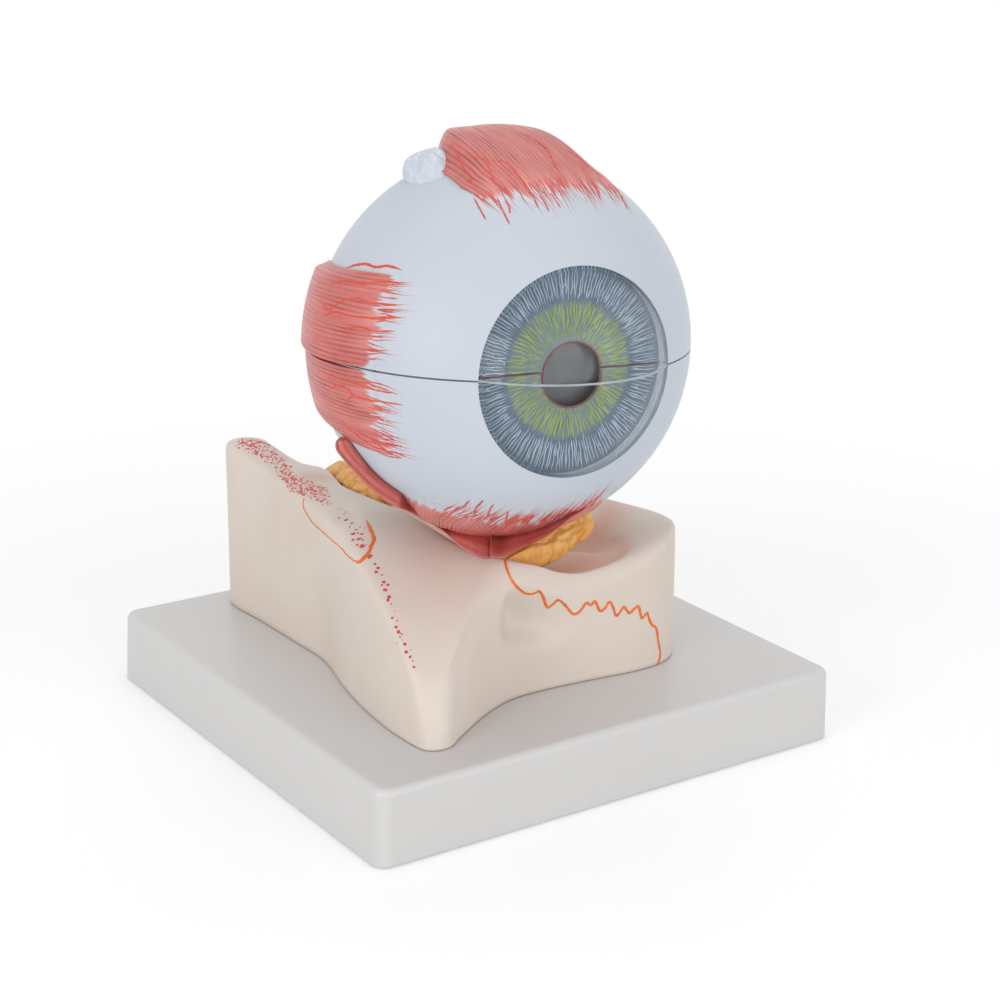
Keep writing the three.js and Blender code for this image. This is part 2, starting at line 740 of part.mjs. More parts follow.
// Locating pin that stands in the orbit and enters the underside of the eyeball
const seatPinTop = -(BALL_RADIUS - SEAT_PIN_BITE);
const seatPinFoot = seatPinTop - SEAT_PIN_LENGTH;
const seatPinPost = (play, from, to) =>
  post(SEAT_PIN_RADIUS + play, SEAT_PIN_X, SEAT_PIN_Y, from, to);

function orbitSolid() {
  let bone = solidFrom(orbitGeometry());
  SCREW_PLACES.forEach(([x, y]) => {
    const tip = SCREW_LENGTH - PLATE_WALL;
    bone = bone.subtract(post(SCREW_RADIUS + CLEARANCE, x, y, -1, tip + CLEARANCE));
  });
  return bone.subtract(fromEye(seatPinPost(CLEARANCE, seatPinFoot - CLEARANCE, seatPinTop)));
}

const bone = orbitSolid();
piece(orbit, "orbit_bone", bone, boneLook);
piece(eye, "seat_pin", seatPinPost(0, seatPinFoot, seatPinTop), steelLook);

// What the bed must keep clear of: the ball and the muscle slab under it, each with a little play
const ballWithPlay = (play) =>
  turned(ellipseArc(BALL_RADIUS + play, BALL_AXIAL + play, 0, 180, 2 * ARC_STEPS));
const slabRoom = solidFrom(
  muscleSlab({
    ...INFERIOR_SLAB,
    back: INFERIOR_SLAB.back + BED_PLAY,
    front: INFERIOR_SLAB.front - BED_PLAY,
    widthBack: [INFERIOR_SLAB.widthBack[0] - BED_PLAY, INFERIOR_SLAB.widthBack[1] + BED_PLAY],
    widthFront: [INFERIOR_SLAB.widthFront[0] - BED_PLAY, INFERIOR_SLAB.widthFront[1] + BED_PLAY],
    rise: INFERIOR_RISE + BED_PLAY,
    under: -SCLERA_WALL / 2,
  }),
);
const ballAndSlab = ballWithPlay(BED_PLAY).add(slabRoom);
const boneRoom = bone.translate([0, 0, CLEARANCE]);

const intoOrbit = (solid) => fromEye(solid).subtract(fromEye(ballAndSlab)).subtract(boneRoom);
const pinRoom = fromEye(seatPinPost(CLEARANCE, seatPinFoot, seatPinTop));

const oblique = (grow) => solidFrom(bedBand(OBLIQUE_BED, grow));
const rectus = (grow) => solidFrom(bedBand(RECTUS_BED, grow));
piece(orbit, "inferior_oblique", intoOrbit(oblique(0)), muscleLook);
const obliqueRoom = fromEye(oblique(CLEARANCE));
piece(orbit, "inferior_rectus", intoOrbit(rectus(0)).subtract(obliqueRoom).subtract(pinRoom), muscleLook);
const musclesRoom = obliqueRoom.add(fromEye(rectus(CLEARANCE)));

function padSolid(points) {
  const room = fromEye(ballAndSlab).add(boneRoom).add(musclesRoom).add(pinRoom);
  return fatPad(points).subtract(room);
}

piece(orbit, "orbital_fat_lateral", padSolid(FAT_LATERAL), fatLook);
piece(orbit, "orbital_fat_medial", padSolid(FAT_MEDIAL), fatLook);

// Eyeball shells, each turned about the optical axis and parted at the cut plane
const scleraAxial = BALL_AXIAL - SCLERA_WALL;
const scleraInner = BALL_RADIUS - SCLERA_WALL;
const choroidOuter = scleraInner - SHELL_PLAY;
const choroidAxial = scleraAxial - SHELL_PLAY;
const retina = choroidOuter - CHOROID_WALL;
const retinaAxial = choroidAxial - CHOROID_WALL;
const irisBack = IRIS_FRONT - IRIS_THICKNESS;
const chamberBack = irisBack - CLEARANCE;

const sclera = turned([
  ...ellipseArc(BALL_RADIUS, BALL_AXIAL, 0, angleAtRadius(BALL_RADIUS, LIMBUS_RADIUS)),
  ...ellipseArc(scleraInner, scleraAxial, angleAtRadius(scleraInner, LIMBUS_RADIUS), 0),
]);
const limbusY = BALL_AXIAL * Math.cos(rad(angleAtRadius(BALL_RADIUS, LIMBUS_RADIUS)));

function corneaSolid() {
  const outer = LIMBUS_RADIUS - CLEARANCE;
  const inner = outer - CORNEA_WALL;
  const centreY = limbusY + Math.sqrt(CORNEA_CURVE ** 2 - outer ** 2);
  const skirt = -(IRIS_FRONT + CLEARANCE);
  const dome = (curve, reach) => {
    const widest = THREE.MathUtils.radToDeg(Math.asin(reach / curve));
    return ellipseArc(curve, curve, 180 - widest, 180, CAP_STEPS).map(([r, y]) => [r, centreY + y]);
  };
  return turned([
    [outer, skirt],
    ...dome(CORNEA_CURVE, outer),
    ...dome(CORNEA_CURVE - CORNEA_WALL, inner).reverse(),
    [inner, skirt],
  ]);
}

const choroid = turned([
  ...ellipseArc(choroidOuter, choroidAxial, 0, angleAtY(choroidAxial, -chamberBack)),
  ...ellipseArc(retina, retinaAxial, angleAtY(retinaAxial, -chamberBack), 0),
], SHELL_STEPS);

function irisSolid() {
  const disc = turned([
    [0, -IRIS_FRONT],
    [IRIS_RADIUS, -IRIS_FRONT],
    [IRIS_RADIUS, -irisBack],
    [0, -irisBack],
  ]);
  const hole = new THREE.CylinderGeometry(PUPIL_RADIUS, PUPIL_RADIUS, 4 * IRIS_THICKNESS, ROUND_STEPS);
  hole.translate(PUPIL_X, -IRIS_FRONT, PUPIL_Z);
  return disc.subtract(solidFrom(hole));
}

// Lens: two caps on a short rim, its front just behind the iris
const lensFront = -chamberBack;
const capDepth = (curve) => curve - Math.sqrt(curve ** 2 - LENS_RADIUS ** 2);
const lensRimFront = lensFront + capDepth(LENS_FRONT_CURVE);
const lensRimBack = lensRimFront + LENS_EDGE;
const lensBack = lensRimBack + capDepth(LENS_BACK_CURVE);

function lensSolid() {
  const cap = (curve, apex, side) => {
    const widest = THREE.MathUtils.radToDeg(Math.asin(LENS_RADIUS / curve));
    return ellipseArc(curve, curve, 0, widest, CAP_STEPS).map(([r, y]) => [r, apex + side * (curve - y)]);
  };
  return turned([
    ...cap(LENS_FRONT_CURVE, lensFront, 1),
    ...cap(LENS_BACK_CURVE, lensBack, -1).reverse(),
  ], SHELL_STEPS);
}

// Ciliary body: fills the front of the choroid and carries the lens rim in a groove
function ciliarySolid() {
  const lip = LENS_RADIUS - CILIARY_LIP;
  const groove = LENS_RADIUS + GROOVE_PLAY;
  const front = lensRimFront - LENS_PLAY;
  const back = lensRimBack + LENS_PLAY;
  const across = retina - SHELL_PLAY;
  const along = retinaAxial - SHELL_PLAY;
  const outside = ellipseArc(
    across,
    along,
    angleAtY(along, back + CILIARY_WALL),
    angleAtY(along, -chamberBack),
    CAP_STEPS,
  );
  return turned([
    [lip, front - CILIARY_WALL],
    [lip, front],
    [groove, front],
    [groove, back],
    [lip, back],
    [lip, back + CILIARY_WALL],
    ...outside,
  ], SHELL_STEPS);
}

const vitreousAcross = retina - SHELL_PLAY;
const vitreousAlong = retinaAxial - SHELL_PLAY;
const vitreousFront = lensBack + SHELL_PLAY;
const vitreous = turned([
  ...ellipseArc(vitreousAcross, vitreousAlong, 0, angleAtY(vitreousAlong, vitreousFront)),
  [0, vitreousFront],
], SHELL_STEPS);

const rimPinPlaces = RIM_PIN_DEGREES.map((degrees) => [
  (BALL_RADIUS - SCLERA_WALL / 2) * Math.cos(rad(degrees)),
  (BALL_AXIAL - SCLERA_WALL / 2) * Math.sin(rad(degrees)),
]);

function scleraHalf(side) {
  let half = halfOf(sclera, side);
  const reach = RIM_PIN_LENGTH / 2 + CLEARANCE;
  rimPinPlaces.forEach(([x, y]) => {
    half = half.subtract(post(RIM_PIN_RADIUS + CLEARANCE, x, y, -reach, reach));
  });
  return half;
}

const irisDisc = irisSolid();
const cornea = corneaSolid();
const ciliary = ciliarySolid();
const choroidLook = material(0x8a3b2a, 0.5);
const irisLook = material(0x6c7f8f, 0.35);
const clearLook = glassy(0xe8eef4);

const scleraLower = scleraHalf(-1).subtract(
  seatPinPost(CLEARANCE, -2 * BALL_RADIUS, seatPinTop + CLEARANCE),
);
piece(eye, "lower_sclera", scleraLower, whiteLook);
piece(eye, "upper_sclera", scleraHalf(1), whiteLook);
[
  ["lower_", -1],
  ["upper_", 1],
].forEach(([prefix, side]) => {
  piece(eye, prefix + "cornea", halfOf(cornea, side), clearLook);
  piece(eye, prefix + "choroid", halfOf(choroid, side), choroidLook);
  piece(eye, prefix + "iris", halfOf(irisDisc, side), irisLook);
  piece(eye, prefix + "ciliary_body", halfOf(ciliary, side), choroidLook);
});
piece(eye, "vitreous_body", vitreous, clearLook);
piece(eye, "lens", lensSolid(), clearLook);

rimPinPlaces.forEach(([x, y], i) => {
  const pin = post(RIM_PIN_RADIUS, x, y, -RIM_PIN_LENGTH / 2, RIM_PIN_LENGTH / 2);
  piece(eye, "rim_pin_" + (i + 1), pin, steelLook);
});

// Muscles and nerve moulded on the eyeball
piece(eye, "superior_rectus", muscleSlab(SUPERIOR_SLAB), muscleLook);
piece(eye, "medial_rectus_upper", muscleSlab({ ...MEDIAL_SLAB, ...MEDIAL_UPPER }), muscleLook);
piece(eye, "medial_rectus_lower", muscleSlab({ ...MEDIAL_SLAB, ...MEDIAL_LOWER }), muscleLook);
piece(eye, "lateral_rectus_upper", muscleSlab({ ...LATERAL_SLAB, ...LATERAL_UPPER }), muscleLook);
piece(eye, "lateral_rectus_lower", muscleSlab({ ...LATERAL_SLAB, ...LATERAL_LOWER }), muscleLook);

const insertion = solidFrom(muscleSlab(INFERIOR_SLAB)).subtract(
  seatPinPost(CLEARANCE, -2 * BALL_RADIUS, 0),
);
piece(eye, "inferior_rectus_insertion", insertion, muscleLook);
piece(eye, "superior_oblique_tendon", bedBand(TENDON), whiteLook);

// The nerve stays with the lower half, so above the cut plane it leaves the upper half a straight way up
function nerveSolid() {
  const start = BALL_AXIAL - 2 * SCLERA_WALL;
  const length = BALL_AXIAL + NERVE_LENGTH - start;
  const nerve = new THREE.CylinderGeometry(NERVE_RADIUS - NERVE_TAPER, NERVE_RADIUS, length, NERVE_STEPS);
  nerve.translate(NERVE_X, start + length / 2, 0);
  const height = NERVE_RADIUS + CLEARANCE;
  const wayUp = new THREE.CylinderGeometry(1, 1, height, 2 * ROUND_STEPS);
  wayUp.rotateX(Math.PI / 2);
  wayUp.scale(BALL_RADIUS + NERVE_LIFT_PLAY, BALL_AXIAL + NERVE_LIFT_PLAY, 1);
  wayUp.translate(0, 0, height / 2);
  return solidFrom(nerve).subtract(ballWithPlay(BED_PLAY)).subtract(solidFrom(wayUp));
}

piece(eye, "optic_nerve", nerveSolid(), nerveLook);

// The origin goes to the middle of the footprint
root.updateMatrixWorld(true);
const middle = new THREE.Box3().setFromObject(root, true).getCenter(new THREE.Vector3());
root.position.set(-middle.x, -middle.y, 0);

export default root;
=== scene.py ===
import json
import math

import bmesh
import bpy
import numpy as np
from mathutils import Matrix, Vector
from mathutils.bvhtree import BVHTree
from mathutils.kdtree import KDTree


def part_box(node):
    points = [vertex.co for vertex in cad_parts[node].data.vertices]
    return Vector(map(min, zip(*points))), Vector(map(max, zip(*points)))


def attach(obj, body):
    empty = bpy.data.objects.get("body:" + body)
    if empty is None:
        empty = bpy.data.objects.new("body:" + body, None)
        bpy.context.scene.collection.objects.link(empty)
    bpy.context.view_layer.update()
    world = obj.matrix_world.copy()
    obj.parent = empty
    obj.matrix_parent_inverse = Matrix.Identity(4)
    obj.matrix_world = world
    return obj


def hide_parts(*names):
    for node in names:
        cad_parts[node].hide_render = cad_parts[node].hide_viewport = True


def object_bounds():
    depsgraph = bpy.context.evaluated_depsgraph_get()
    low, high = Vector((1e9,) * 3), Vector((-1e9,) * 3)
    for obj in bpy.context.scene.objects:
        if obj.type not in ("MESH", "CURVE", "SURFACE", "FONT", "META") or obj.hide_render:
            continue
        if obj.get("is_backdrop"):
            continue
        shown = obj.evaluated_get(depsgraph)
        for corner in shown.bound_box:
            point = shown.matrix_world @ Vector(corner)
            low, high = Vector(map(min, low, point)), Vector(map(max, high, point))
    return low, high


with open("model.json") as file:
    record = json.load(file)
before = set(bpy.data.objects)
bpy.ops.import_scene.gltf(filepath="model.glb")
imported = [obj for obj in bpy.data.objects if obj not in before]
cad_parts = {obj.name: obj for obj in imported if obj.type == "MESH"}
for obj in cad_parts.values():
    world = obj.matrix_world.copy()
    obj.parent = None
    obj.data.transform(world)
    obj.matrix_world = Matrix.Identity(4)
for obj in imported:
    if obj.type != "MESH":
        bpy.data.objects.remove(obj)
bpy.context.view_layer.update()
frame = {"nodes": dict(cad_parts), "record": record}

# Lengths are millimetres in the row frame, unless a name says otherwise
MM = 0.001
TAU = 2 * math.pi
ORBIT_ORIGIN = (-1.0, 6.0, 25.6)
EYE_CENTRE = (-16.7, -34.3, 143.6)
EYE_TURNS_DEG = {"Z": -7.5, "X": -1.84, "Y": 1.2}

BALL_RADIUS, BALL_AXIAL = 60.0, 55.6
SCLERA_WALL, CHOROID_WALL, SHELL_PLAY = 4.0, 2.5, 0.5
HALF_SEAM, SEAM_CHAMFER = 0.15, 0.12
LIMBUS_RADIUS, CLEARANCE = 32.0, 0.3
SIDES = (("lower", -1), ("upper", 1))
WELD_METRES = 2e-6
DOT_SINK = 0.25

BODY_OF = {member: body for body, members in frame["record"]["behaviour"]["bodies"].items() for member in members}


def placed(origin):
    return np.array(Matrix.Translation(origin))


eye_place = Matrix.Translation(EYE_CENTRE)
for axis, degrees in EYE_TURNS_DEG.items():
    eye_place = eye_place @ Matrix.Rotation(math.radians(degrees), 4, axis)
EYE, ORBIT, ROW = np.array(eye_place), placed(ORBIT_ORIGIN), np.eye(4)
EYE_AXES, EYE_MIDDLE = EYE[:3, :3], EYE[:3, 3]


# Shape helpers


def ripple(points, size, seed, waves=28):
    """Smooth noise, mostly between -1 and 1, with lumps of the given size."""
    rng = np.random.default_rng(seed)
    directions = rng.normal(size=(waves, 3)) * (TAU / size / 1.7)
    phases = rng.uniform(0, TAU, waves)
    return np.sin(points @ directions.T + phases).sum(1) / math.sqrt(waves)


def flat_ripple(a, b, size, seed):
    return ripple(np.stack([a, b, np.zeros_like(a)], 1), size, seed)


def smooth(t):
    t = np.clip(t, 0, 1)
    return t * t * (3 - 2 * t)


def lerp(a, b, t):
    return a + (b - a) * t


def units(vectors):
    return vectors / np.linalg.norm(vectors, axis=-1)[..., None]


def ring_quads(count, strips, rings):
    """Quads from each ring of count points in strips to the next ring of a closed list."""
    quads = []
    for k in strips:
        a, b = k * count, (k + 1) % rings * count
        quads += [[a + i, a + (i + 1) % count, b + (i + 1) % count, b + i] for i in range(count)]
    return quads


def tube_faces(rings, count):
    """Faces of a closed tube through rings of count points."""
    ends = [list(range(count))[::-1], list(range(count * (rings - 1), count * rings))]
    return ring_quads(count, range(rings - 1), rings) + ends


def slab_faces(nu, nv):
    """Quads of a closed skin over an upper and a lower grid of (nu + 1) x (nv + 1) points."""
    top, low = np.arange(2 * (nu + 1) * (nv + 1)).reshape(2, nu + 1, nv + 1)
    quads = [
        np.stack([g[:-1, :-1], g[1:, :-1], g[1:, 1:], g[:-1, 1:]], -1).reshape(-1, 4)[:, ::turn]
        for g, turn in ((top, 1), (low, -1))
    ]
    rims = (top[:, 0], low[:, 0], -1), (top[:, -1], low[:, -1], 1), (top[0], low[0], 1), (top[-1], low[-1], -1)
    quads += [np.stack([a[:-1], a[1:], b[1:], b[:-1]], -1)[:, ::turn] for a, b, turn in rims]
    return np.concatenate(quads)


def slab(top, low, nu, nv):
    """Points and faces of a closed skin over two grids of points."""
    return np.concatenate([top, low]), slab_faces(nu, nv)


def grid(nu, nv):
    """Flat arrays u and v from 0 to 1 over (nu + 1) x (nv + 1) points."""
    u, v = np.meshgrid(np.linspace(0, 1, nu + 1), np.linspace(0, 1, nv + 1), indexing="ij")
    return u.ravel(), v.ravel()


def lathe(profile, steps, axis="y"):
    """Points and quads of a closed solid turned about an axis from [radius, place on the axis] points."""
    r, along = np.asarray(profile, float).T[:, None]
    m = r.shape[1]
    angles = np.linspace(0, TAU, steps, endpoint=False)[:, None]
    across, up, along = r * np.cos(angles), r * np.sin(angles), np.repeat(along, steps, 0)
    points = np.stack((across, along, up) if axis == "y" else (across, up, along), -1).reshape(-1, 3)
    i, j = np.meshgrid(np.arange(steps), np.arange(m - 1), indexing="ij")
    k = (i + 1) % steps
    return points, np.stack([i * m + j, k * m + j, k * m + j + 1, i * m + j + 1], -1).reshape(-1, 4)


def added(name, data):
    obj = bpy.data.objects.new(name, data)
    bpy.context.scene.collection.objects.link(obj)
    return obj


def make(name, shape, place, look, sharp_deg=40, uv=None, **values):
    """A closed piece from (points, faces) in millimetres in the frame place."""
    points = np.asarray(shape[0], float) @ place[:3, :3].T + place[:3, 3]
    mesh = bpy.data.meshes.new(name)
    mesh.from_pydata((points * MM).tolist(), [], [list(f) for f in shape[1]])
    for key, value in values.items():
        mesh.attributes.new(key, "FLOAT", "POINT").data.foreach_set("value", np.asarray(value, np.float32))
    if uv is not None:
        corners = np.zeros(len(mesh.loops), np.int32)
        mesh.loops.foreach_get("vertex_index", corners)
        mesh.uv_layers.new(name="UVMap").data.foreach_set("uv", np.asarray(uv, np.float32)[corners].ravel())
    clean = bmesh.new()
    clean.from_mesh(mesh)
    bmesh.ops.remove_doubles(clean, verts=clean.verts, dist=WELD_METRES)
    bmesh.ops.recalc_face_normals(clean, faces=clean.faces)
    clean.to_mesh(mesh)
    clean.free()
    mesh.shade_smooth()
    mesh.set_sharp_from_angle(angle=math.radians(sharp_deg))
    mesh.materials.append(look)
    return added(name, mesh)


def rides_with(obj, node, instead=False):
    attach(obj, BODY_OF[node])
    if instead:
        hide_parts(node)
    return obj


def stands_for(obj, node):
    return rides_with(obj, node, True)


def merged(parts):
    """Points and faces of several (points, faces) in one."""
    points, faces, base = [], [], 0
    for p, f in parts:
        points.append(p)
        faces.extend([[base + i for i in face] for face in f])
        base += len(p)
    return np.concatenate(points), faces


def remeshed(node, voxel, passes):
    """Fine copy of a CAD node's mesh: points in millimetres, faces and normals."""
    copy = added("work", frame["nodes"][node].data.copy())
    remesh = copy.modifiers.new("remesh", "REMESH")
    remesh.mode, remesh.voxel_size = "VOXEL", voxel * MM
    relax = copy.modifiers.new("relax", "SMOOTH")
    relax.factor, relax.iterations = 0.5, passes
    done = copy.evaluated_get(bpy.context.evaluated_depsgraph_get())
    mesh = done.to_mesh()
    points, normals = np.zeros((2, 3 * len(mesh.vertices)))
    mesh.vertices.foreach_get("co", points)
    mesh.vertices.foreach_get("normal", normals)
    faces = [list(p.vertices) for p in mesh.polygons]
    done.to_mesh_clear()
    bpy.data.objects.remove(copy)
    return points.reshape(-1, 3) / MM, faces, normals.reshape(-1, 3)


def ribbon(points, normals, widths, height, sink=0.12):
    """Closed tapering stroke with a ridge along its middle."""
    side = np.cross(np.gradient(points, axis=0), normals)
    side /= np.linalg.norm(side, axis=1)[:, None] + 1e-9
    half = side * widths[:, None] / 2
    rise = normals * (height * widths / widths.max())[:, None]
    low, shoulder = normals * sink, half * 0.85
    ring = [points - half - low, points - shoulder + rise * 0.6, points + rise, points + shoulder + rise * 0.6]
    ring = np.stack(ring + [points + half - low], 1)
    return ring.reshape(-1, 3), tube_faces(*ring.shape[:2])


def dot(point, normal, radius, height, rng, sides=9):
    """Closed low dome of paint with an uneven outline."""
    first = np.cross(normal, [0.3, 0.5, 0.8])
    first /= np.linalg.norm(first)
    second = np.cross(normal, first)
    angles = np.linspace(0, TAU, sides, endpoint=False)
    reach = radius * rng.uniform(0.75, 1.2, sides)
    flat = first * np.cos(angles)[:, None] + second * np.sin(angles)[:, None]
    low = point + flat * reach[:, None] - normal * DOT_SINK
    mid = point + flat * (reach * 0.6)[:, None] + normal * height * 0.8
    faces = []
    for i in range(sides):
        j = (i + 1) % sides
        faces += [[i, j, sides + j, sides + i], [sides + i, sides + j, 2 * sides], [j, i, 2 * sides + 1]]
    return np.concatenate([low, mid, [point + normal * height, point - normal * DOT_SINK]]), faces


# Material helpers


def tone(r, g, b):
    """Linear colour from sRGB values of 0 to 255."""
    parts = (c / 255 for c in (r, g, b))
    return (*(c / 12.92 if c <= 0.04045 else ((c + 0.055) / 1.055) ** 2.4 for c in parts), 1.0)


def grey(level):
    return (level, level, level, 1.0)


class Nodes:
    """Short ways to add shader nodes to a tree. A value that is a socket is linked."""

    def __init__(self, tree):
        self.tree = tree

    def put(self, socket, value):
        if isinstance(value, bpy.types.NodeSocket):
            self.tree.links.new(value, socket)
        else:
            socket.default_value = value

    def node(self, kind, inputs=(), **settings):
        made = self.tree.nodes.new("ShaderNode" + kind)
        for key, value in settings.items():
            setattr(made, key, value)
        for key, value in dict(inputs).items():
            self.put(made.inputs[key], value)
        return made

    def maths(self, operation, a, b):
        return self.node("Math", {0: a, 1: b}, operation=operation).outputs[0]

    def fit(self, value, low, high, to_low=0.0, to_high=1.0):
        limits = {"Value": value, "From Min": low, "From Max": high, "To Min": to_low, "To Max": to_high}
        return self.node("MapRange", limits).outputs["Result"]

    def mix(self, share, a, b, blend="MIX"):
        made = self.node("Mix", data_type="RGBA", blend_type=blend)
        sockets = {s.name: s for s in made.inputs if s.enabled}
        for key, value in (("Factor", share), ("A", a), ("B", b)):
            self.put(sockets[key], value)
        return [s for s in made.outputs if s.enabled][0]

    def ramp(self, value, low, low_colour, high, high_colour):
        made = self.node("ValToRGB", {"Fac": value})
        for element, (place, colour) in zip(made.color_ramp.elements, ((low, low_colour), (high, high_colour))):
            element.position, element.color = place, colour
        return made.outputs["Color"]

    def unlit_rays(self):
        """1 for the rays that only look at a thing: from the camera, mirrored, or through clear plastic."""
        path = self.node("LightPath").outputs
        looked = self.maths("MAXIMUM", path["Is Camera Ray"], path["Is Glossy Ray"])
        return self.maths("MAXIMUM", looked, path["Is Transmission Ray"])


class Paint(Nodes):
    """A material that starts from the Principled shader."""

    def __init__(self, name):
        self.look = bpy.data.materials.new(name)
        self.look.use_nodes = True
        super().__init__(self.look.node_tree)
        self.shader = self.tree.nodes["Principled BSDF"]
        self.place = self.node("TexCoord").outputs["Object"]

    def noise(self, scale, detail=3.0, roughness=0.5, place=None):
        values = {"Vector": place or self.place, "Scale": scale, "Detail": detail, "Roughness": roughness}
        return self.node("TexNoise", values).outputs["Fac"]

    def streaks(self, scale_along, scale_across):
        """Noise drawn out along a piece's fibres, from its UV map in millimetres."""
        uv = self.node("UVMap", uv_map="UVMap").outputs["UV"]
        mapping = self.node("Mapping", {"Vector": uv, "Scale": (scale_along, scale_across, 1.0)})
        return self.noise(1.0, 4.0, 0.6, mapping.outputs["Vector"])

    def value(self, name):
        return self.node("Attribute", attribute_name=name).outputs["Fac"]

    def blended(self, base, **colours):
        """The base with a colour over it for each of the piece's values, as far as the value goes."""
        for name, colour in colours.items():
            base = self.mix(self.value(name), base, colour)
        return base

    def done(self, base, uneven, roughness, grain=None, strength=0.3, depth_mm=0.1, **sockets):
        """Sets the colour, an uneven gloss, a fine bump and the numbers of other sockets."""
        inputs = self.shader.inputs
        self.put(inputs["Base Color"], base)
        self.put(inputs["Roughness"], self.fit(uneven, 0.3, 0.7, *roughness))
        if grain:
            bump = self.node("Bump", {"Height": grain, "Strength": strength, "Distance": depth_mm * MM})
            self.put(inputs["Normal"], bump.outputs["Normal"])
        for key, value in sockets.items():
            self.put(inputs[key.replace("_", " ")], value)
        return self.look

    def shown_by(self, kind, share, a, b):
        """The surface from two shaders, added or mixed."""
        both = self.node(kind)
        if share is not None:
            self.put(both.inputs["Fac"], share)
        sockets = [s for s in both.inputs if s.type == "SHADER"]
        self.put(sockets[0], a)
        self.put(sockets[1], b)
        return both.outputs["Shader"]


def mottled_look(name, one, other, scale, roughness, grain_scale=900.0, grain_mm=0.05, **sockets):
    """Plain coloured plastic or paint with a slight mottle, uneven gloss and fine grain."""
    paint = Paint(name)
    base = paint.ramp(paint.noise(scale, 4.0), 0.3, tone(*one), 0.7, tone(*other))
    grain = paint.noise(grain_scale, 2.0)
    return paint.done(base, paint.noise(scale * 3), roughness, grain, 0.25, grain_mm, **sockets)


def glass_look(name, colour, roughness, ior, tint=(255, 255, 255), clear=1.0, rim_clear=0.0):
    """Clear plastic that lets lamp light through to what lies behind it."""
    paint = Paint(name)
    base = paint.ramp(paint.noise(60.0), 0.3, tone(*colour), 0.7, tone(250, 252, 253))
    paint.put(paint.shader.inputs["Base Color"], base)
    paint.put(paint.shader.inputs["Roughness"], paint.fit(paint.noise(90.0), 0.35, 0.65, *roughness))
    paint.put(paint.shader.inputs["Transmission Weight"], clear)
    paint.put(paint.shader.inputs["IOR"], ior)
    through = paint.node("LightPath").outputs["Is Shadow Ray"]
    if rim_clear:
        facing = paint.node("LayerWeight", {"Blend": 0.5}).outputs["Facing"]
        through = paint.maths("MAXIMUM", through, paint.fit(facing, 0.55, 0.8, 0.0, rim_clear))
    bare = paint.node("BsdfTransparent", {"Color": tone(*tint)}).outputs["BSDF"]
    surface = paint.shown_by("MixShader", through, paint.shader.outputs["BSDF"], bare)
    paint.put(paint.tree.nodes["Material Output"].inputs["Surface"], surface)
    return paint.look


def muscle_look(name, dark, middle, light, pale, roughness):
    """Painted muscle: dark fibre lines (groove), streaks between them, and the colour given as pale where the tip value
    goes: pale ragged tips on the eyeball slabs, painted shade on the bed muscles.
    """
    paint = Paint(name)
    body = paint.ramp(paint.streaks(0.05, 0.9), 0.3, tone(*middle), 0.62, tone(*light))
    patchy = paint.ramp(paint.noise(90.0), 0.35, grey(0.82), 0.65, grey(1.0))
    body = paint.mix(0.7, body, patchy, "MULTIPLY")
    broken = paint.fit(paint.streaks(0.12, 0.35), 0.35, 0.6, 0.45, 1.0)
    body = paint.mix(paint.maths("MULTIPLY", paint.value("groove"), broken), body, tone(*dark))
    body = paint.blended(body, tip=tone(*pale), bare=tone(201, 208, 218))
    return paint.done(body, paint.streaks(0.1, 1.5), roughness, paint.streaks(0.06, 2.2), 0.35, 0.12,
                      Coat_Weight=0.25, Coat_Roughness=0.25)


LOOK_PLATE = mottled_look("plate_plastic", (215, 214, 213), (213, 212, 211), 12.0, (0.30, 0.33), 1400.0, 0.01)
LOOK_RUBBER = mottled_look("foot_rubber", (46, 46, 48), (34, 34, 36), 220.0, (0.7, 0.85), 1500.0, 0.08)
LOOK_STEEL = mottled_look("bright_steel", (196, 196, 200), (172, 172, 178), 400.0, (0.2, 0.34), 3000.0, 0.01,
                          Metallic=1.0)
LOOK_SCLERA = mottled_look("white_of_eye", (200, 207, 217), (202, 209, 219), 22.0, (0.36, 0.39), 700.0, 0.001,
                           Specular_IOR_Level=0.22)
LOOK_CORNEA = glass_look("clear_cornea", (238, 243, 246), (0.0, 0.03), 1.22, (236, 240, 243), rim_clear=0.9)
LOOK_LENS = glass_look("clear_lens", (226, 228, 234), (0.0, 0.02), 1.42, clear=0.93)
LOOK_VITREOUS = glass_look("clear_body", (238, 243, 244), (0.02, 0.05), 1.36)
LOOK_SUTURE = mottled_look("orange_paint", (240, 126, 46), (228, 102, 32), 300.0, (0.3, 0.45))
LOOK_MARROW = mottled_look("red_paint", (204, 62, 60), (214, 96, 88), 260.0, (0.35, 0.5))
LOOK_VESSEL = mottled_look("vessel_paint", (224, 72, 44), (214, 84, 62), 240.0, (0.3, 0.42))
LOOK_STRAND = mottled_look("strand_paint", (202, 74, 64), (214, 104, 92), 240.0, (0.3, 0.42))
LOOK_PALE_RAY = mottled_look("white_ray_paint", (158, 172, 184), (190, 201, 210), 300.0, (0.35, 0.5))
# Grey liner of the bore round the cornea: painted shade, darker than the white shell
LOOK_BORE_SHADE = mottled_look("bore_shade_paint", (180, 185, 194), (190, 195, 204), 120.0, (0.4, 0.5))
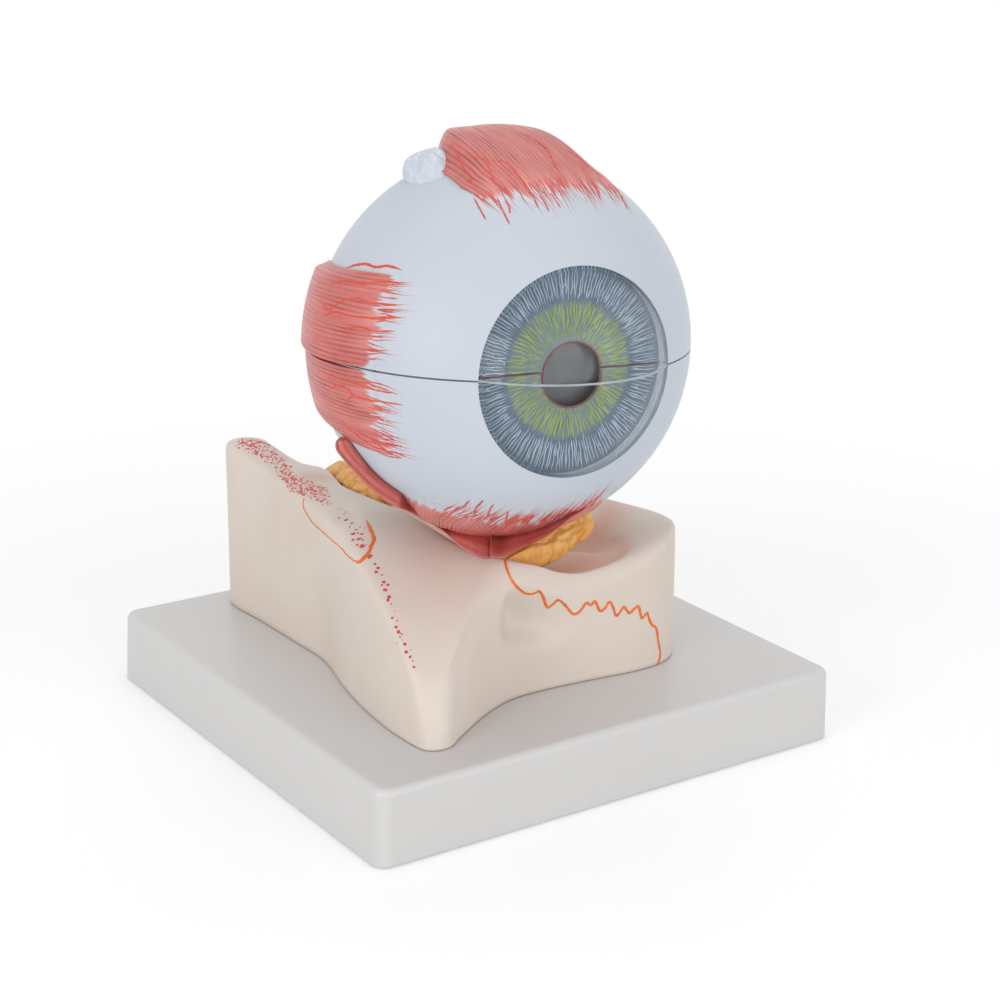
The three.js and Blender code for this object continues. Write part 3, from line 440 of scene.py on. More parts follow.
# Whitish strip on the cut faces of the cornea: a painted highlight along the clear seam
LOOK_SEAM_HIGHLIGHT = mottled_look("painted_seam_highlight", (196, 202, 208), (212, 217, 222), 200.0, (0.5, 0.6))
LOOK_GREEN_RAY = mottled_look("yellow_green_paint", (128, 144, 82), (154, 168, 90), 260.0, (0.35, 0.5))
LOOK_PUPIL_RING = mottled_look("pupil_ring_paint", (140, 52, 46), (112, 44, 42), 300.0, (0.35, 0.5))
LOOK_BLUE_VESSEL = mottled_look("vein_paint", (70, 84, 150), (84, 98, 164), 240.0, (0.3, 0.42))
LOOK_CILIARY = mottled_look("ciliary_paint", (92, 56, 46), (70, 42, 36), 160.0, (0.4, 0.6), 500.0, 0.1)
LOOK_NERVE = mottled_look("nerve_paint", (228, 212, 168), (214, 192, 140), 160.0, (0.35, 0.5), 400.0, 0.2)
LOOK_MUSCLE = muscle_look("painted_muscle", (150, 46, 42), (204, 94, 87), (217, 123, 115), (224, 150, 143),
                          (0.32, 0.46))
# On the bed muscles the colour given as pale is dark red: painted shade where the tip value goes
LOOK_BED_MUSCLE = muscle_look("bed_muscle", (128, 34, 32), (196, 84, 76), (212, 110, 100), (150, 46, 42), (0.3, 0.42))
# Lighter copy of the bed muscle paint for the front of the inferior rectus, which lies in the ball's shade: painted
# light
LOOK_LIT_BED_MUSCLE = muscle_look("lit_bed_muscle", (140, 36, 34), (208, 100, 92), (224, 130, 120), (150, 46, 42), (0.32, 0.44))

paint = Paint("cream_casting")
base = paint.ramp(paint.noise(28.0, 5.0), 0.3, tone(221, 207, 195), 0.7, tone(226, 214, 204))
hollow = paint.mix(paint.noise(45.0, 4.0), tone(216, 160, 135), tone(223, 174, 152))
# hollow and blush are washes of paint; soil is painted shade, brown at the foot where the casting meets the plate
base = paint.blended(base, hollow=hollow, blush=tone(205, 168, 152), soil=tone(178, 148, 126))
LOOK_BONE = paint.done(base, paint.noise(80.0), (0.42, 0.55), paint.noise(500.0, 3.0), 0.3, 0.06)

paint = Paint("painted_fat")
base = paint.ramp(paint.noise(170.0, 4.0), 0.32, tone(226, 150, 58), 0.66, tone(238, 184, 100))
dabs = paint.ramp(paint.noise(420.0, 2.0), 0.55, grey(0.0), 0.68, grey(1.0))
base = paint.mix(paint.maths("MULTIPLY", dabs, 0.5), base, tone(214, 128, 44))
# Painted shade: darker orange in the creases between the lobes
base = paint.blended(base, crease=tone(184, 116, 44))
LOOK_FAT = paint.done(base, paint.noise(200.0), (0.32, 0.5), paint.noise(650.0, 3.0), 0.4, 0.2)

paint = Paint("iris_paint")
rays = paint.streaks(0.5, 3.0)
outer = paint.ramp(rays, 0.3, tone(72, 89, 106), 0.7, tone(94, 110, 126))
inner = paint.ramp(rays, 0.3, tone(92, 108, 118), 0.7, tone(118, 132, 128))
LOOK_IRIS = paint.done(paint.blended(outer, inner=inner), rays, (0.35, 0.5), paint.streaks(0.6, 5.0), 0.4, 0.15)

paint = Paint("tendon_paint")
base = paint.mix(paint.value("lace"), tone(203, 212, 224), tone(219, 226, 235))
LOOK_TENDON = paint.done(base, paint.noise(300.0), (0.3, 0.5), paint.noise(900.0, 2.0), 0.3, 0.1)

# Dark red outside, orange retina inside
paint = Paint("choroid_paint")
outside = paint.ramp(paint.noise(60.0, 4.0), 0.3, tone(150, 66, 50), 0.7, tone(120, 52, 42))
retina = paint.ramp(paint.noise(40.0, 5.0), 0.3, tone(214, 132, 84), 0.7, tone(226, 150, 100))
LOOK_CHOROID = paint.done(paint.blended(outside, retina=retina), paint.noise(180.0), (0.45, 0.6))


# Camera of the photograph: place in the row frame, turn, pitch and roll in degrees
CAMERA_PLACE = (-393.5, -576.5, 308.6)
CAMERA_YAW, CAMERA_PITCH, CAMERA_ROLL = -34.80, 18.21, 1.10
FOCAL_PIXELS, IMAGE_PIXELS, SENSOR_MM = 2160.7, 1000, 36.0
CLIP_METRES = (0.05, 20.0)

yaw, pitch, roll = (math.radians(d) for d in (CAMERA_YAW, CAMERA_PITCH, CAMERA_ROLL))
back = np.array([math.sin(yaw) * math.cos(pitch), -math.cos(yaw) * math.cos(pitch), math.sin(pitch)])
level = np.array([math.cos(yaw), math.sin(yaw), 0.0])
upright = np.cross(back, level)
right = math.cos(roll) * level + math.sin(roll) * upright
up = -math.sin(roll) * level + math.cos(roll) * upright

camera_data = bpy.data.cameras.new("photo_camera")
camera_data.sensor_width, camera_data.lens = SENSOR_MM, FOCAL_PIXELS / IMAGE_PIXELS * SENSOR_MM
camera_data.clip_start, camera_data.clip_end = CLIP_METRES
camera = added("photo_camera", camera_data)
camera.matrix_world = Matrix.Translation(Vector(CAMERA_PLACE) * MM) @ Matrix(np.stack([right, up, back], 1)).to_4x4()
bpy.context.scene.camera = camera


def sight(x, y):
    """Unit direction from the camera through a place in the image."""
    half = IMAGE_PIXELS / 2
    ray = right * (x - half) / FOCAL_PIXELS - up * (y - half) / FOCAL_PIXELS - back
    return ray / np.linalg.norm(ray)


def in_image(points):
    """Places in the image of points in the row frame."""
    from_camera = points - np.array(CAMERA_PLACE)
    far = -from_camera @ back
    half = IMAGE_PIXELS / 2
    return half + FOCAL_PIXELS * (from_camera @ right) / far, half - FOCAL_PIXELS * (from_camera @ up) / far


def curve_through(points, steps):
    """Points on a smooth open curve through the given ones, with steps to each span."""
    p = np.asarray(points, float)
    p = np.concatenate([[2 * p[0] - p[1]], p, [2 * p[-1] - p[-2]]])
    out = []
    for a, b, c, d in zip(p, p[1:], p[2:], p[3:]):
        bend, twist = 2 * a - 5 * b + 4 * c - d, 3 * b - a - 3 * c + d
        for t in np.linspace(0, 1, steps, endpoint=False):
            out.append(0.5 * (2 * b + (c - a) * t + bend * t**2 + twist * t**3))
    return np.array(out + [p[-2]])


class Surface:
    """The outside of some pieces, on which places in the image are found."""

    def __init__(self, *objects):
        points, faces = [], []
        for obj in objects:
            base = len(points)
            points += [v.co.copy() for v in obj.data.vertices]
            faces += [[base + i for i in p.vertices] for p in obj.data.polygons]
        self.tree = BVHTree.FromPolygons(points, faces)

    def met(self, start, way):
        """Point in millimetres where a ray from a start in metres meets the surface, and the normal that
        faces it, or None."""
        found = self.tree.ray_cast(start, Vector(way))
        if found[0] is None:
            return None
        normal = np.array(found[1])
        return np.array(found[0]) / MM, -normal if normal @ way > 0 else normal

    def seen(self, x, y):
        return self.met(Vector(CAMERA_PLACE) * MM, sight(x, y))

    def outside(self, point, middle, start=20):
        """Where the line from far outside through a point towards a middle first meets the surface."""
        way = units(middle - point)
        return self.met(Vector((point - way * start) * MM), way)


LONGEST_JUMP = 8.0


def drawn(surface, pixels, width, height, steps=5, jitter=0.0, seed=0, taper=True):
    """A stroke through places in the image, laid on a surface."""
    rng = np.random.default_rng(seed)
    path = curve_through(pixels, steps)
    path[1:-1] += rng.normal(0, jitter, (len(path) - 2, 2)) if jitter else 0
    found = [f for f in (surface.seen(x, y) for x, y in path) if f]
    points, normals = (np.array([f[k] for f in found]) for k in range(2))
    jumps = np.nonzero(np.linalg.norm(np.diff(points, axis=0), axis=1) > LONGEST_JUMP)[0]
    if len(jumps):
        points, normals = points[jumps[-1] + 1:], normals[jumps[-1] + 1:]
    normals = (normals + np.roll(normals, 1, 0) + np.roll(normals, -1, 0)) / 3 if len(points) > 3 else normals
    normals = units(normals)
    t = np.linspace(0, 1, len(points))
    shape = np.minimum(1, np.minimum(t, 1 - t) * 6 + 0.25) if taper else np.ones(len(points))
    return ribbon(points, normals, width * shape * rng.uniform(0.8, 1.2, len(points)), height)


# Base plate, feet, screws and pins
PLATE_WIDTH, PLATE_DEPTH, PLATE_HEIGHT = 182.0, 178.4, 24.8
PLATE_CENTRE = (0.0, 7.5, 0.8)
PLATE_CORNER, PLATE_EDGE, PLATE_WALL, PLATE_DRAFT = 4.8, 2.4, 3.0, 0.7


def rounded_ring(width, depth, corner, steps=10):
    """Points round a rectangle with round corners."""
    ring = []
    for k, (sx, sy) in enumerate([(1, 1), (-1, 1), (-1, -1), (1, -1)]):
        for t in np.linspace(0, 1, steps + 1):
            angle = (k + t) * math.pi / 2
            x = sx * (width / 2 - corner) + corner * math.cos(angle)
            ring.append((x, sy * (depth / 2 - corner) + corner * math.sin(angle)))
    return np.array(ring)


def plate_shape():
    sizes = [(PLATE_DRAFT * z / PLATE_HEIGHT, 0, z) for z in (0.0, PLATE_HEIGHT / 2, PLATE_HEIGHT - PLATE_EDGE)]
    for t in np.linspace(0, math.pi / 2, 9)[1:]:
        z, cut = PLATE_HEIGHT - PLATE_EDGE * (1 - math.sin(t)), PLATE_EDGE * (1 - math.cos(t))
        sizes.append((PLATE_DRAFT * z / PLATE_HEIGHT + cut, cut, z))
    sizes += [(PLATE_WALL + PLATE_DRAFT, PLATE_WALL, z) for z in (PLATE_HEIGHT - PLATE_WALL, 0.0)]
    rings = [
        np.column_stack([ring, np.full(len(ring), z)])
        for inset, cut, z in sizes
        for ring in [rounded_ring(PLATE_WIDTH - 2 * inset, PLATE_DEPTH - 2 * inset, PLATE_CORNER - cut)]
    ]
    count, n = len(rings[0]), len(rings)
    roof, ceiling = n - 3, n - 2
    faces = ring_quads(count, [k for k in range(n) if k != roof], n)
    return np.concatenate(rings), faces + [list(range(k * count, (k + 1) * count)) for k in (roof, ceiling)]


stands_for(make("plate_tray", plate_shape(), placed(PLATE_CENTRE), LOOK_PLATE, 35), "base_plate")

SCREW_HEAD, SCREW_PITCH, SCREW_SHANK = 2.6, 1.4, 2.0
PINS = {"seat_pin": (3.0, 38.0), **{f"rim_pin_{k}": (1.0, 6.0) for k in range(1, 5)}}


def foot_profile(r, tall):
    under = [(0, 0.4), (r * 0.45, 0.4), (r * 0.55, 0), (r - 0.6, 0), (r - 0.15, 0.18), (r, 0.6)]
    return under + [(r * 0.97, tall), (0, tall)]


def screw_profile(r, tall):
    slot = r * 0.28
    profile = [(0, 1.2), (slot, 1.2), (slot * 1.15, 0.02), (r * 0.6, 0.1), (r * 0.9, 0.7), (r, 1.4)]
    profile += [(r, SCREW_HEAD), (SCREW_SHANK, SCREW_HEAD)]
    for i in range(int((tall - SCREW_HEAD - 2) / SCREW_PITCH)):
        z = SCREW_HEAD + 1 + i * SCREW_PITCH
        profile += [(SCREW_SHANK, z), (SCREW_SHANK * 0.78, z + SCREW_PITCH * 0.5)]
    return profile + [(SCREW_SHANK * 0.8, tall - 0.6), (SCREW_SHANK * 0.5, tall), (0, tall)]


def box_mm(name):
    return (np.array(corner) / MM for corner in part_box(name))


FEET = [f"foot_{a}_{b}" for a in ("front", "back") for b in ("left", "right")]
SCREWS = [f"orbit_screw_{k}" for k in range(1, 5)]
for names, profile_of, ending, steps, look, slot in (
    (FEET, foot_profile, "_pad", 48, LOOK_RUBBER, "foot_rubber"),
    (SCREWS, screw_profile, "_turned", 36, LOOK_STEEL, "steel"),
):
    for name in names:
        low, high = box_mm(name)
        middle = (low + high) / 2
        shape = lathe(profile_of((high[0] - low[0]) / 2, high[2] - low[2]), steps, "z")
        stands_for(make(name + ending, shape, placed((middle[0], middle[1], low[2])), look), name)

for name, (r, long) in PINS.items():
    low, high = box_mm(name)
    half = [(0, long / 2), (r * 0.7, long / 2), (r, long / 2 - r * 0.4)]
    place = EYE.copy()
    place[:3, 3] = (low + high) / 2
    shape = lathe([(a, -b) for a, b in half] + half[::-1], 32, "z")
    stands_for(make(name + "_turned", shape, place, LOOK_STEEL), name)


# Orbit casting: each station has its foot on the plate, its outer edge and the rim of the hollow
STATIONS = np.array([
    [(-49.6, 79.6, 0), (-50.2, 79, 60.6), (-38.5, 74, 60)],
    [(-53, 76.8, 0), (-53.8, 76.4, 60.8), (-38, 69, 59.5)],
    [(-52.6, 55, 0), (-52.3, 55, 57), (-33, 58, 55.2)],
    [(-52.3, 42, 0), (-52.2, 42, 55.6), (-28.8, 49, 55.2)],
    [(-52, 27, 0), (-52.3, 27, 54.4), (-33.5, 29, 55.2)],
    [(-52, 11, 0), (-53, 9, 52.8), (-33.5, 6, 56.3)],
    [(-58.5, -15, 0), (-57.5, -13, 53), (-31.5, -8, 56.2)],
    [(-62.2, -36.5, 0), (-60, -28, 46.5), (-30.5, -19, 55.5)],
    [(-63.4, -56.7, 0), (-60.5, -46, 36), (-28.5, -29, 53.5)],
    [(-61.5, -69.5, 0), (-60, -62, 21.5), (-26, -37.5, 52)],
    [(-55, -71.5, 0), (-52, -64, 22), (-22, -42.5, 50.2)],
    [(-47.5, -66.7, 0), (-41, -58, 28), (-18, -45.5, 49.2)],
    [(-30, -56, 0), (-25, -52.5, 36), (-13, -47.5, 47.3)],
    [(-17, -50.8, 0), (-12, -51.5, 38), (-6, -49, 44.6)],
    [(-3, -50, 0), (-1, -51.5, 34), (3, -49.5, 40.6)],
    [(15, -51.3, 0), (14, -52, 32.5), (13, -49.5, 38.8)],
    [(34.7, -53.2, 0), (33, -53, 37), (29, -48.5, 40.5)],
    [(47, -51.3, 0), (46, -51, 44.2), (38, -44, 41.6)],
    [(55.5, -44.5, 0), (55.2, -43.5, 46.4), (43.5, -35, 40.6)],
    [(60.2, -34, 0), (59.6, -32, 45.8), (44, -25, 40.2)],
    [(61, 0, 0), (60, 0, 42.4), (44, 0, 38.2)],
    [(60.8, 40, 0), (60, 40, 38.7), (43, 36, 36.0)],
    [(58.5, 69, 0), (57, 68, 36), (42, 57, 37.2)],
    [(50, 78, 0), (48, 76.5, 35), (36, 65, 36.4)],
    [(3, 79.5, 0), (3, 78, 34), (3, 69, 35)],
    [(-30, 79, 0), (-30, 78, 50), (-30, 72, 48)],
], float)
HOLLOW_CENTRE = np.array([6.0, 8.0, 16.0])
WALL_LEAN_POWER, WALL_TOP_SWELL, BOWL_POWER = 1.6, 1.2, 2.0
STATION_STEPS, WALL_RINGS, EDGE_RINGS, BOWL_RINGS, BOWL_END = 9, 30, 16, 34, 0.985
RELAX_PASSES = 5


def closed_curve(points, steps):
    """Centripetal curve through a closed ring of points."""
    out, n = [], len(points)
    for i in range(n):
        p0, p1, p2, p3 = (points[(i + k) % n] for k in (-1, 0, 1, 2))
        d0, d1, d2 = (max(math.sqrt(np.linalg.norm(b - a)), 1e-4) for a, b in ((p0, p1), (p1, p2), (p2, p3)))
        m1 = ((p1 - p0) / d0 - (p2 - p0) / (d0 + d1) + (p2 - p1) / d1) * d1
        m2 = ((p2 - p1) / d1 - (p3 - p1) / (d1 + d2) + (p3 - p2) / d2) * d1
        for t in np.arange(steps) / steps:
            out.append(p1 + m1 * t + (-3 * p1 + 3 * p2 - 2 * m1 - m2) * t**2 + (2 * p1 - 2 * p2 + m1 + m2) * t**3)
    return np.array(out)


def bone_shape():
    """Rings up the wall, over its top and down the hollow, and how far down the hollow each point lies."""
    foot, edge, rim = (closed_curve(STATIONS[:, k], STATION_STEPS) for k in range(3))
    foot[:, 2] = CLEARANCE
    rings, depth = [], [0.0] * (WALL_RINGS + EDGE_RINGS - 2)
    for t in np.linspace(0, 1, WALL_RINGS)[:-1]:
        flat = lerp(foot[:, :2], edge[:, :2], t**WALL_LEAN_POWER)
        rings.append(np.column_stack([flat, lerp(foot[:, 2], edge[:, 2], t)]))
    for t in np.linspace(0, 1, EDGE_RINGS)[:-1]:
        rings.append(lerp(edge, rim, t) + np.array([0, 0, WALL_TOP_SWELL * math.sin(math.pi * t)]))
    for t in np.linspace(0, BOWL_END, BOWL_RINGS):
        ring = lerp(rim, HOLLOW_CENTRE, t)
        ring[:, 2] = HOLLOW_CENTRE[2] + (rim[:, 2] - HOLLOW_CENTRE[2]) * (1 - t) ** BOWL_POWER
        rings.append(ring)
        depth.append(t)
    return np.concatenate(rings), tube_faces(len(rings), len(foot)), np.repeat(depth, len(foot)), len(foot)


def relaxed(points, faces, passes, keep):
    """Points drawn towards their neighbours, except those in keep."""
    edges = {(min(a, b), max(a, b)) for f in faces if len(f) == 4 for a, b in zip(f, f[1:] + f[:1])}
    edges = np.array(sorted(edges))
    count = np.bincount(edges.ravel(), minlength=len(points)).astype(float)
    count[count == 0] = 1
    points = points.copy()
    for _ in range(passes):
        total = np.zeros_like(points)
        np.add.at(total, edges[:, 0], points[edges[:, 1]])
        np.add.at(total, edges[:, 1], points[edges[:, 0]])
        moved = lerp(points, total / count[:, None], 0.5)
        moved[keep] = points[keep]
        points = moved
    return points


# The hollow spot low on the front wall, the shallow lacrimal pit and the washes of paint, by places in the image, and
# the painted shade at the foot of the casting
SPOT_CENTRE, SPOT_SIDES, SPOT_HEIGHTS, SPOT_DEPTH, FRONT_WALL_Y = (517, 626), (18, 66), (46, 27), 6.2, -30
PIT_CENTRE, PIT_RADII, PIT_WAY = (346, 526), (15, 26), 1.4 * np.array([0.6, 0.7, -0.4])
LEFT_WALL_X, LEFT_WALL_Y = -30, 30
BLUSH_PIXEL, BLUSH_RADIUS, BLUSH_SHARE = (315, 477), 6.5, 0.6
# Painted shade at the foot: how high above the plate it reaches and how strong it is
CONTACT_SHADE_HEIGHT, CONTACT_SHADE_SHARE = 0.9, 0.6
WASH_FROM, WASH_RUN, WASH_WIDTH, WASH_BEHIND, WASH_SHARE = (566, 562), np.array((44, -48)), 17, -38, 0.75
AIRBRUSH_PATCHES = 0.15
TOP_RING = 30
# Fat pads: how far round each the floor rises to it, and how high it may come
PADS = {"orbital_fat_lateral": (24.0, 38.0), "orbital_fat_medial": (8.0, 60.0)}
LEDGE_BITE = 0.3

points, faces, bowl, ring_count = bone_shape()
points = relaxed(points, faces, RELAX_PASSES, np.arange(len(points)) < ring_count)
row_points = points + np.array(ORBIT_ORIGIN)
x, y = in_image(row_points)
spot_x, spot_y = x - SPOT_CENTRE[0], y - SPOT_CENTRE[1]
spot_x /= np.where(spot_x < 0, *SPOT_SIDES)
spot_y /= np.where(spot_y < 0, *SPOT_HEIGHTS)
spot = smooth(1.15 * (1 - np.hypot(spot_x, spot_y)))
points[:, 1] += SPOT_DEPTH * spot * ((bowl == 0) & (points[:, 1] < FRONT_WALL_Y))
pit = np.clip(1 - ((x - PIT_CENTRE[0]) / PIT_RADII[0]) ** 2 - ((y - PIT_CENTRE[1]) / PIT_RADII[1]) ** 2, 0, 1)
near_wall = (bowl == 0) & (points[:, 0] < LEFT_WALL_X) & (points[:, 1] < LEFT_WALL_Y)
points += (smooth(pit * 1.6) * near_wall)[:, None] * PIT_WAY

# The floor of the hollow comes up to the underside of both fat pads
fat_skins = {name: remeshed(name, 0.5, 4) for name in PADS}
for name, (run, highest) in PADS.items():
    skin, _, normals = fat_skins[name]
    underside = skin[normals[:, 2] < -0.3]
    below = KDTree(len(underside))
    for i, (px, py, _) in enumerate(underside):
        below.insert((px, py, 0.0), i)
    below.balance()
    for i in np.nonzero(bowl > 0)[0]:
        near = below.find_n((row_points[i, 0], row_points[i, 1], 0.0), 5)
        ledge = min(min(underside[k][2] for _, k, _ in near) + LEDGE_BITE - ORBIT_ORIGIN[2], highest)
        if ledge > points[i, 2]:
            points[i, 2] = lerp(points[i, 2], ledge, smooth(1 - near[0][2] / run))
draft_bone = make("draft_bone", (points, faces), ORBIT, LOOK_BONE)
blush_point = Surface(draft_bone).seen(*BLUSH_PIXEL)[0]
bpy.data.objects.remove(draft_bone)

blush = np.exp(-(((row_points - blush_point) / BLUSH_RADIUS) ** 2).sum(1) ** 1.5) * BLUSH_SHARE
airbrush = smooth((bowl - 0.005) / 0.045) * smooth((row_points[:, 0] + 40) / 50)
airbrush *= 1 - AIRBRUSH_PATCHES + AIRBRUSH_PATCHES * ripple(row_points, 30, 3)
share = np.clip(((x - WASH_FROM[0]) * WASH_RUN[0] + (y - WASH_FROM[1]) * WASH_RUN[1]) / (WASH_RUN @ WASH_RUN), 0, 1)
from_line = np.hypot(x - WASH_FROM[0] - share * WASH_RUN[0], y - WASH_FROM[1] - share * WASH_RUN[1])
inside = (bowl > 0) | (np.arange(len(points)) >= TOP_RING * ring_count) & (points[:, 1] > WASH_BEHIND)
airbrush = np.maximum(airbrush, WASH_SHARE * np.exp(-((from_line / WASH_WIDTH) ** 2)) * inside)
# Painted shade: the casting turns brown towards its foot, where it meets the plate
soil = np.clip(1 - points[:, 2] / CONTACT_SHADE_HEIGHT, 0, 1) * CONTACT_SHADE_SHARE
airbrush = np.clip(airbrush, 0, 1)
bone = make("bone_casting", (points, faces), ORBIT, LOOK_BONE, 60, hollow=airbrush, blush=blush, soil=soil)
stands_for(bone, "orbit_bone")
bone_surface = Surface(bone)

# Painted marks on the casting, by their places in the image
SUTURE = [
    (505, 558), (506, 566), (510, 577), (516, 586), (523, 592), (529, 594), (535, 593), (539, 591), (543, 597),
    (547, 607), (552, 605), (558, 600), (565, 605), (573, 614), (580, 611), (586, 603), (591, 605), (595, 601),
    (600, 611), (605, 608), (609, 602), (613, 607), (616, 616), (620, 612), (624, 607), (629, 613), (633, 610),
    (638, 606), (640, 612), (642, 618), (647, 613), (649, 619), (652, 625), (656, 628), (658, 640), (660, 652),
    (659, 660), (657, 664),
]
LACRIMAL_THIN = [
    (304, 499), (303, 506), (307, 514), (312, 522), (317, 527), (325, 534), (333, 541), (341, 548), (347, 555),
    (354, 561),
]
LACRIMAL_THICK = [
    (354, 561), (359, 562), (364, 558), (369, 552), (371, 546), (374, 540), (372, 533), (369, 526), (366, 520),
]
LACRIMAL_DOTS = [
    (339, 518, 0.9), (346, 520, 1.3), (352, 523, 0.9), (344, 514, 0.5), (356, 530, 0.9), (353, 534, 1.3),
    (358, 533, 0.7), (353, 540, 1.0), (358, 539, 1.2), (362, 534, 0.8), (362, 546, 1.3), (357, 545, 0.7),
    (346, 512, 0.5), (341, 509, 0.4), (350, 527, 0.6), (363, 540, 0.6), (366, 545, 0.4), (369, 531, 0.4),
    (365, 528, 0.4), (360, 527, 0.4),
]
RIDGE_DOTS = [
    (370, 556, 1.2), (369, 558, 0.7), (375, 564, 0.8), (378, 568, 1.0), (376, 572, 1.0), (382, 575, 0.5),
    (384, 582, 1.0), (388, 585, 0.8), (382, 585, 0.6), (385, 590, 1.0), (389, 597, 1.0), (388, 600, 0.9),
    (391, 604, 0.4), (395, 611, 0.3), (392, 618, 0.7), (397, 621, 0.5), (396, 627, 0.8), (398, 632, 0.9),
    (402, 634, 0.5), (400, 637, 0.5), (405, 644, 0.9), (406, 652, 0.9), (410, 657, 0.8), (413, 661, 0.4),
    (414, 667, 0.7), (397, 643, 0.3), (402, 640, 0.3), (411, 650, 0.3),
]
# The band of small dots along the edge: its line with half widths, and how many dots of which sizes
BAND_LINE = [(240, 442, 4), (262, 450, 8), (282, 467, 10), (292, 482, 9), (310, 490, 8), (328, 497, 9)]
BAND_DOTS, BAND_DOT_SIZES = 640, (0.24, 0.32, 0.42, 0.42, 0.55, 0.8)

shape = merged([
    drawn(bone_surface, SUTURE, 1.0, 0.3, 4, 0.06, 4, taper=False),
    drawn(bone_surface, LACRIMAL_THIN, 0.6, 0.2, 4, 0.15, 2, taper=False),
    drawn(bone_surface, LACRIMAL_THICK, 1.35, 0.3, 4, 0.1, 3),
])
rides_with(make("painted_sutures", shape, ROW, LOOK_SUTURE), "orbit_bone")

rng = np.random.default_rng(11)
parts = [dot(*bone_surface.seen(x, y), r * 0.9, 0.18, rng) for x, y, r in LACRIMAL_DOTS + RIDGE_DOTS]
line = curve_through(BAND_LINE, 12)
for _ in range(BAND_DOTS):
    x, y, w = line[rng.integers(len(line))]
    x, y = x + rng.normal(0, 2.5), y + rng.uniform(-1, 1) * w
    found = bone_surface.seen(x, y)
    if found and found[1][2] > -0.2:
        parts.append(dot(*found, rng.choice(BAND_DOT_SIZES) * rng.uniform(0.8, 1.2), 0.1, rng, 7))
rides_with(make("painted_marrow_dots", merged(parts), ROW, LOOK_MARROW), "orbit_bone")


# Eyeball shells
def on_ball(x, y, z, rise):
    """Point above the white of the eye, at a height along its normal."""
    share = np.sqrt((x / BALL_RADIUS) ** 2 + (z / BALL_RADIUS) ** 2 + (y / BALL_AXIAL) ** 2)
    p = np.stack([x / share, y / share, z / share], -1)
    out = units(p / np.array([BALL_RADIUS**2, BALL_AXIAL**2, BALL_RADIUS**2]))
    return p + out * np.asarray(rise)[..., None], out


def ellipse_arc(across, along, start_deg, end_deg, steps):
    angles = np.radians(np.linspace(start_deg, end_deg, steps + 1))
    return np.stack([np.abs(across * np.sin(angles)), along * np.cos(angles)], 1)


def half_turned(outer, inner, side, steps=112, chamfer=0.0):
    """Half of a turned shell above (1) or below (-1) the cut plane."""
    theta = np.linspace(0, math.pi, steps + 1)
    layers = []
    for profile, seam in ((outer, HALF_SEAM + chamfer), (inner, HALF_SEAM)):
        r, y = profile[:, 0][None], profile[:, 1][None]
        x = r * np.cos(theta)[:, None]
        z = side * np.maximum(r * np.sin(theta)[:, None], seam)
        layers.append(np.stack([x, np.repeat(y, steps + 1, 0), z], -1).reshape(-1, 3))
    return slab(*layers, steps, len(outer) - 1)


def angle_at_radius(across, r):
    return 180 - math.degrees(math.asin(r / across))


SCLERA_ACROSS, SCLERA_ALONG = BALL_RADIUS - SCLERA_WALL, BALL_AXIAL - SCLERA_WALL
CHOROID_ACROSS, CHOROID_ALONG = SCLERA_ACROSS - SHELL_PLAY, SCLERA_ALONG - SHELL_PLAY
RETINA_ACROSS, RETINA_ALONG = CHOROID_ACROSS - CHOROID_WALL, CHOROID_ALONG - CHOROID_WALL
RIM_PIN_DEGREES, RIM_HOLE_RADIUS, RIM_HOLE_REACH = (25, 155, 205, 335), 1.3, 3.3
# Radius, x, y and the two ends of the hole for the locating pin
SEAT_HOLE = (3.3, 8.0, 6.0, -70.0, -56.3)


def drilled(obj, cutters):
    """Cuts upright round holes, each (radius, x, y, from, to) in the eye's frame."""
    parts = []
    for r, x, y, z0, z1 in cutters:
        points, faces = lathe([(0, z0), (r, z0), (r, z1), (0, z1)], 28, "z")
        parts.append((points + (x, y, 0.0), faces.tolist()))
    tool = make("drill", merged(parts), EYE, LOOK_STEEL)
    cut = obj.modifiers.new("drill", "BOOLEAN")
    cut.operation, cut.object, cut.solver = "DIFFERENCE", tool, "EXACT"
    mesh = bpy.data.meshes.new_from_object(obj.evaluated_get(bpy.context.evaluated_depsgraph_get()))
    obj.modifiers.clear()
    obj.data = mesh
    bpy.data.objects.remove(tool)


shells = {}
limbus_angle = angle_at_radius(BALL_RADIUS, LIMBUS_RADIUS)
outer = ellipse_arc(BALL_RADIUS, BALL_AXIAL, 0, limbus_angle, 96)
inner = ellipse_arc(SCLERA_ACROSS, SCLERA_ALONG, 0, angle_at_radius(SCLERA_ACROSS, LIMBUS_RADIUS), 96)
LIMBUS_Y = outer[-1, 1]
pins_x, pins_y = BALL_RADIUS - SCLERA_WALL / 2, BALL_AXIAL - SCLERA_WALL / 2
rim_holes = [
    (RIM_HOLE_RADIUS, pins_x * math.cos(a), pins_y * math.sin(a), -RIM_HOLE_REACH, RIM_HOLE_REACH)
    for a in map(math.radians, RIM_PIN_DEGREES)
]
for prefix, side in SIDES:
    shell = make(prefix + "_white_shell", half_turned(outer, inner, side, 144, SEAM_CHAMFER), EYE, LOOK_SCLERA, 35)
    drilled(shell, rim_holes + ([SEAT_HOLE] if side < 0 else []))
    shells[prefix] = stands_for(shell, prefix + "_sclera")

CORNEA_CURVE, CORNEA_WALL, IRIS_FRONT, IRIS_RADIUS, IRIS_THICKNESS = 40.0, 1.5, 42.9, 31.2, 2.1
PUPIL_RADIUS, PUPIL_X, PUPIL_Z = 9.7, 1.2, -1.5
APEX_SINK, FOOT_LENGTH = 0.07, 0.5
dome_reach = LIMBUS_RADIUS - 0.06
dome_centre = LIMBUS_Y + APEX_SINK + math.sqrt(CORNEA_CURVE**2 - (LIMBUS_RADIUS - CLEARANCE) ** 2)
SHELF_Y = 0.4 - IRIS_FRONT


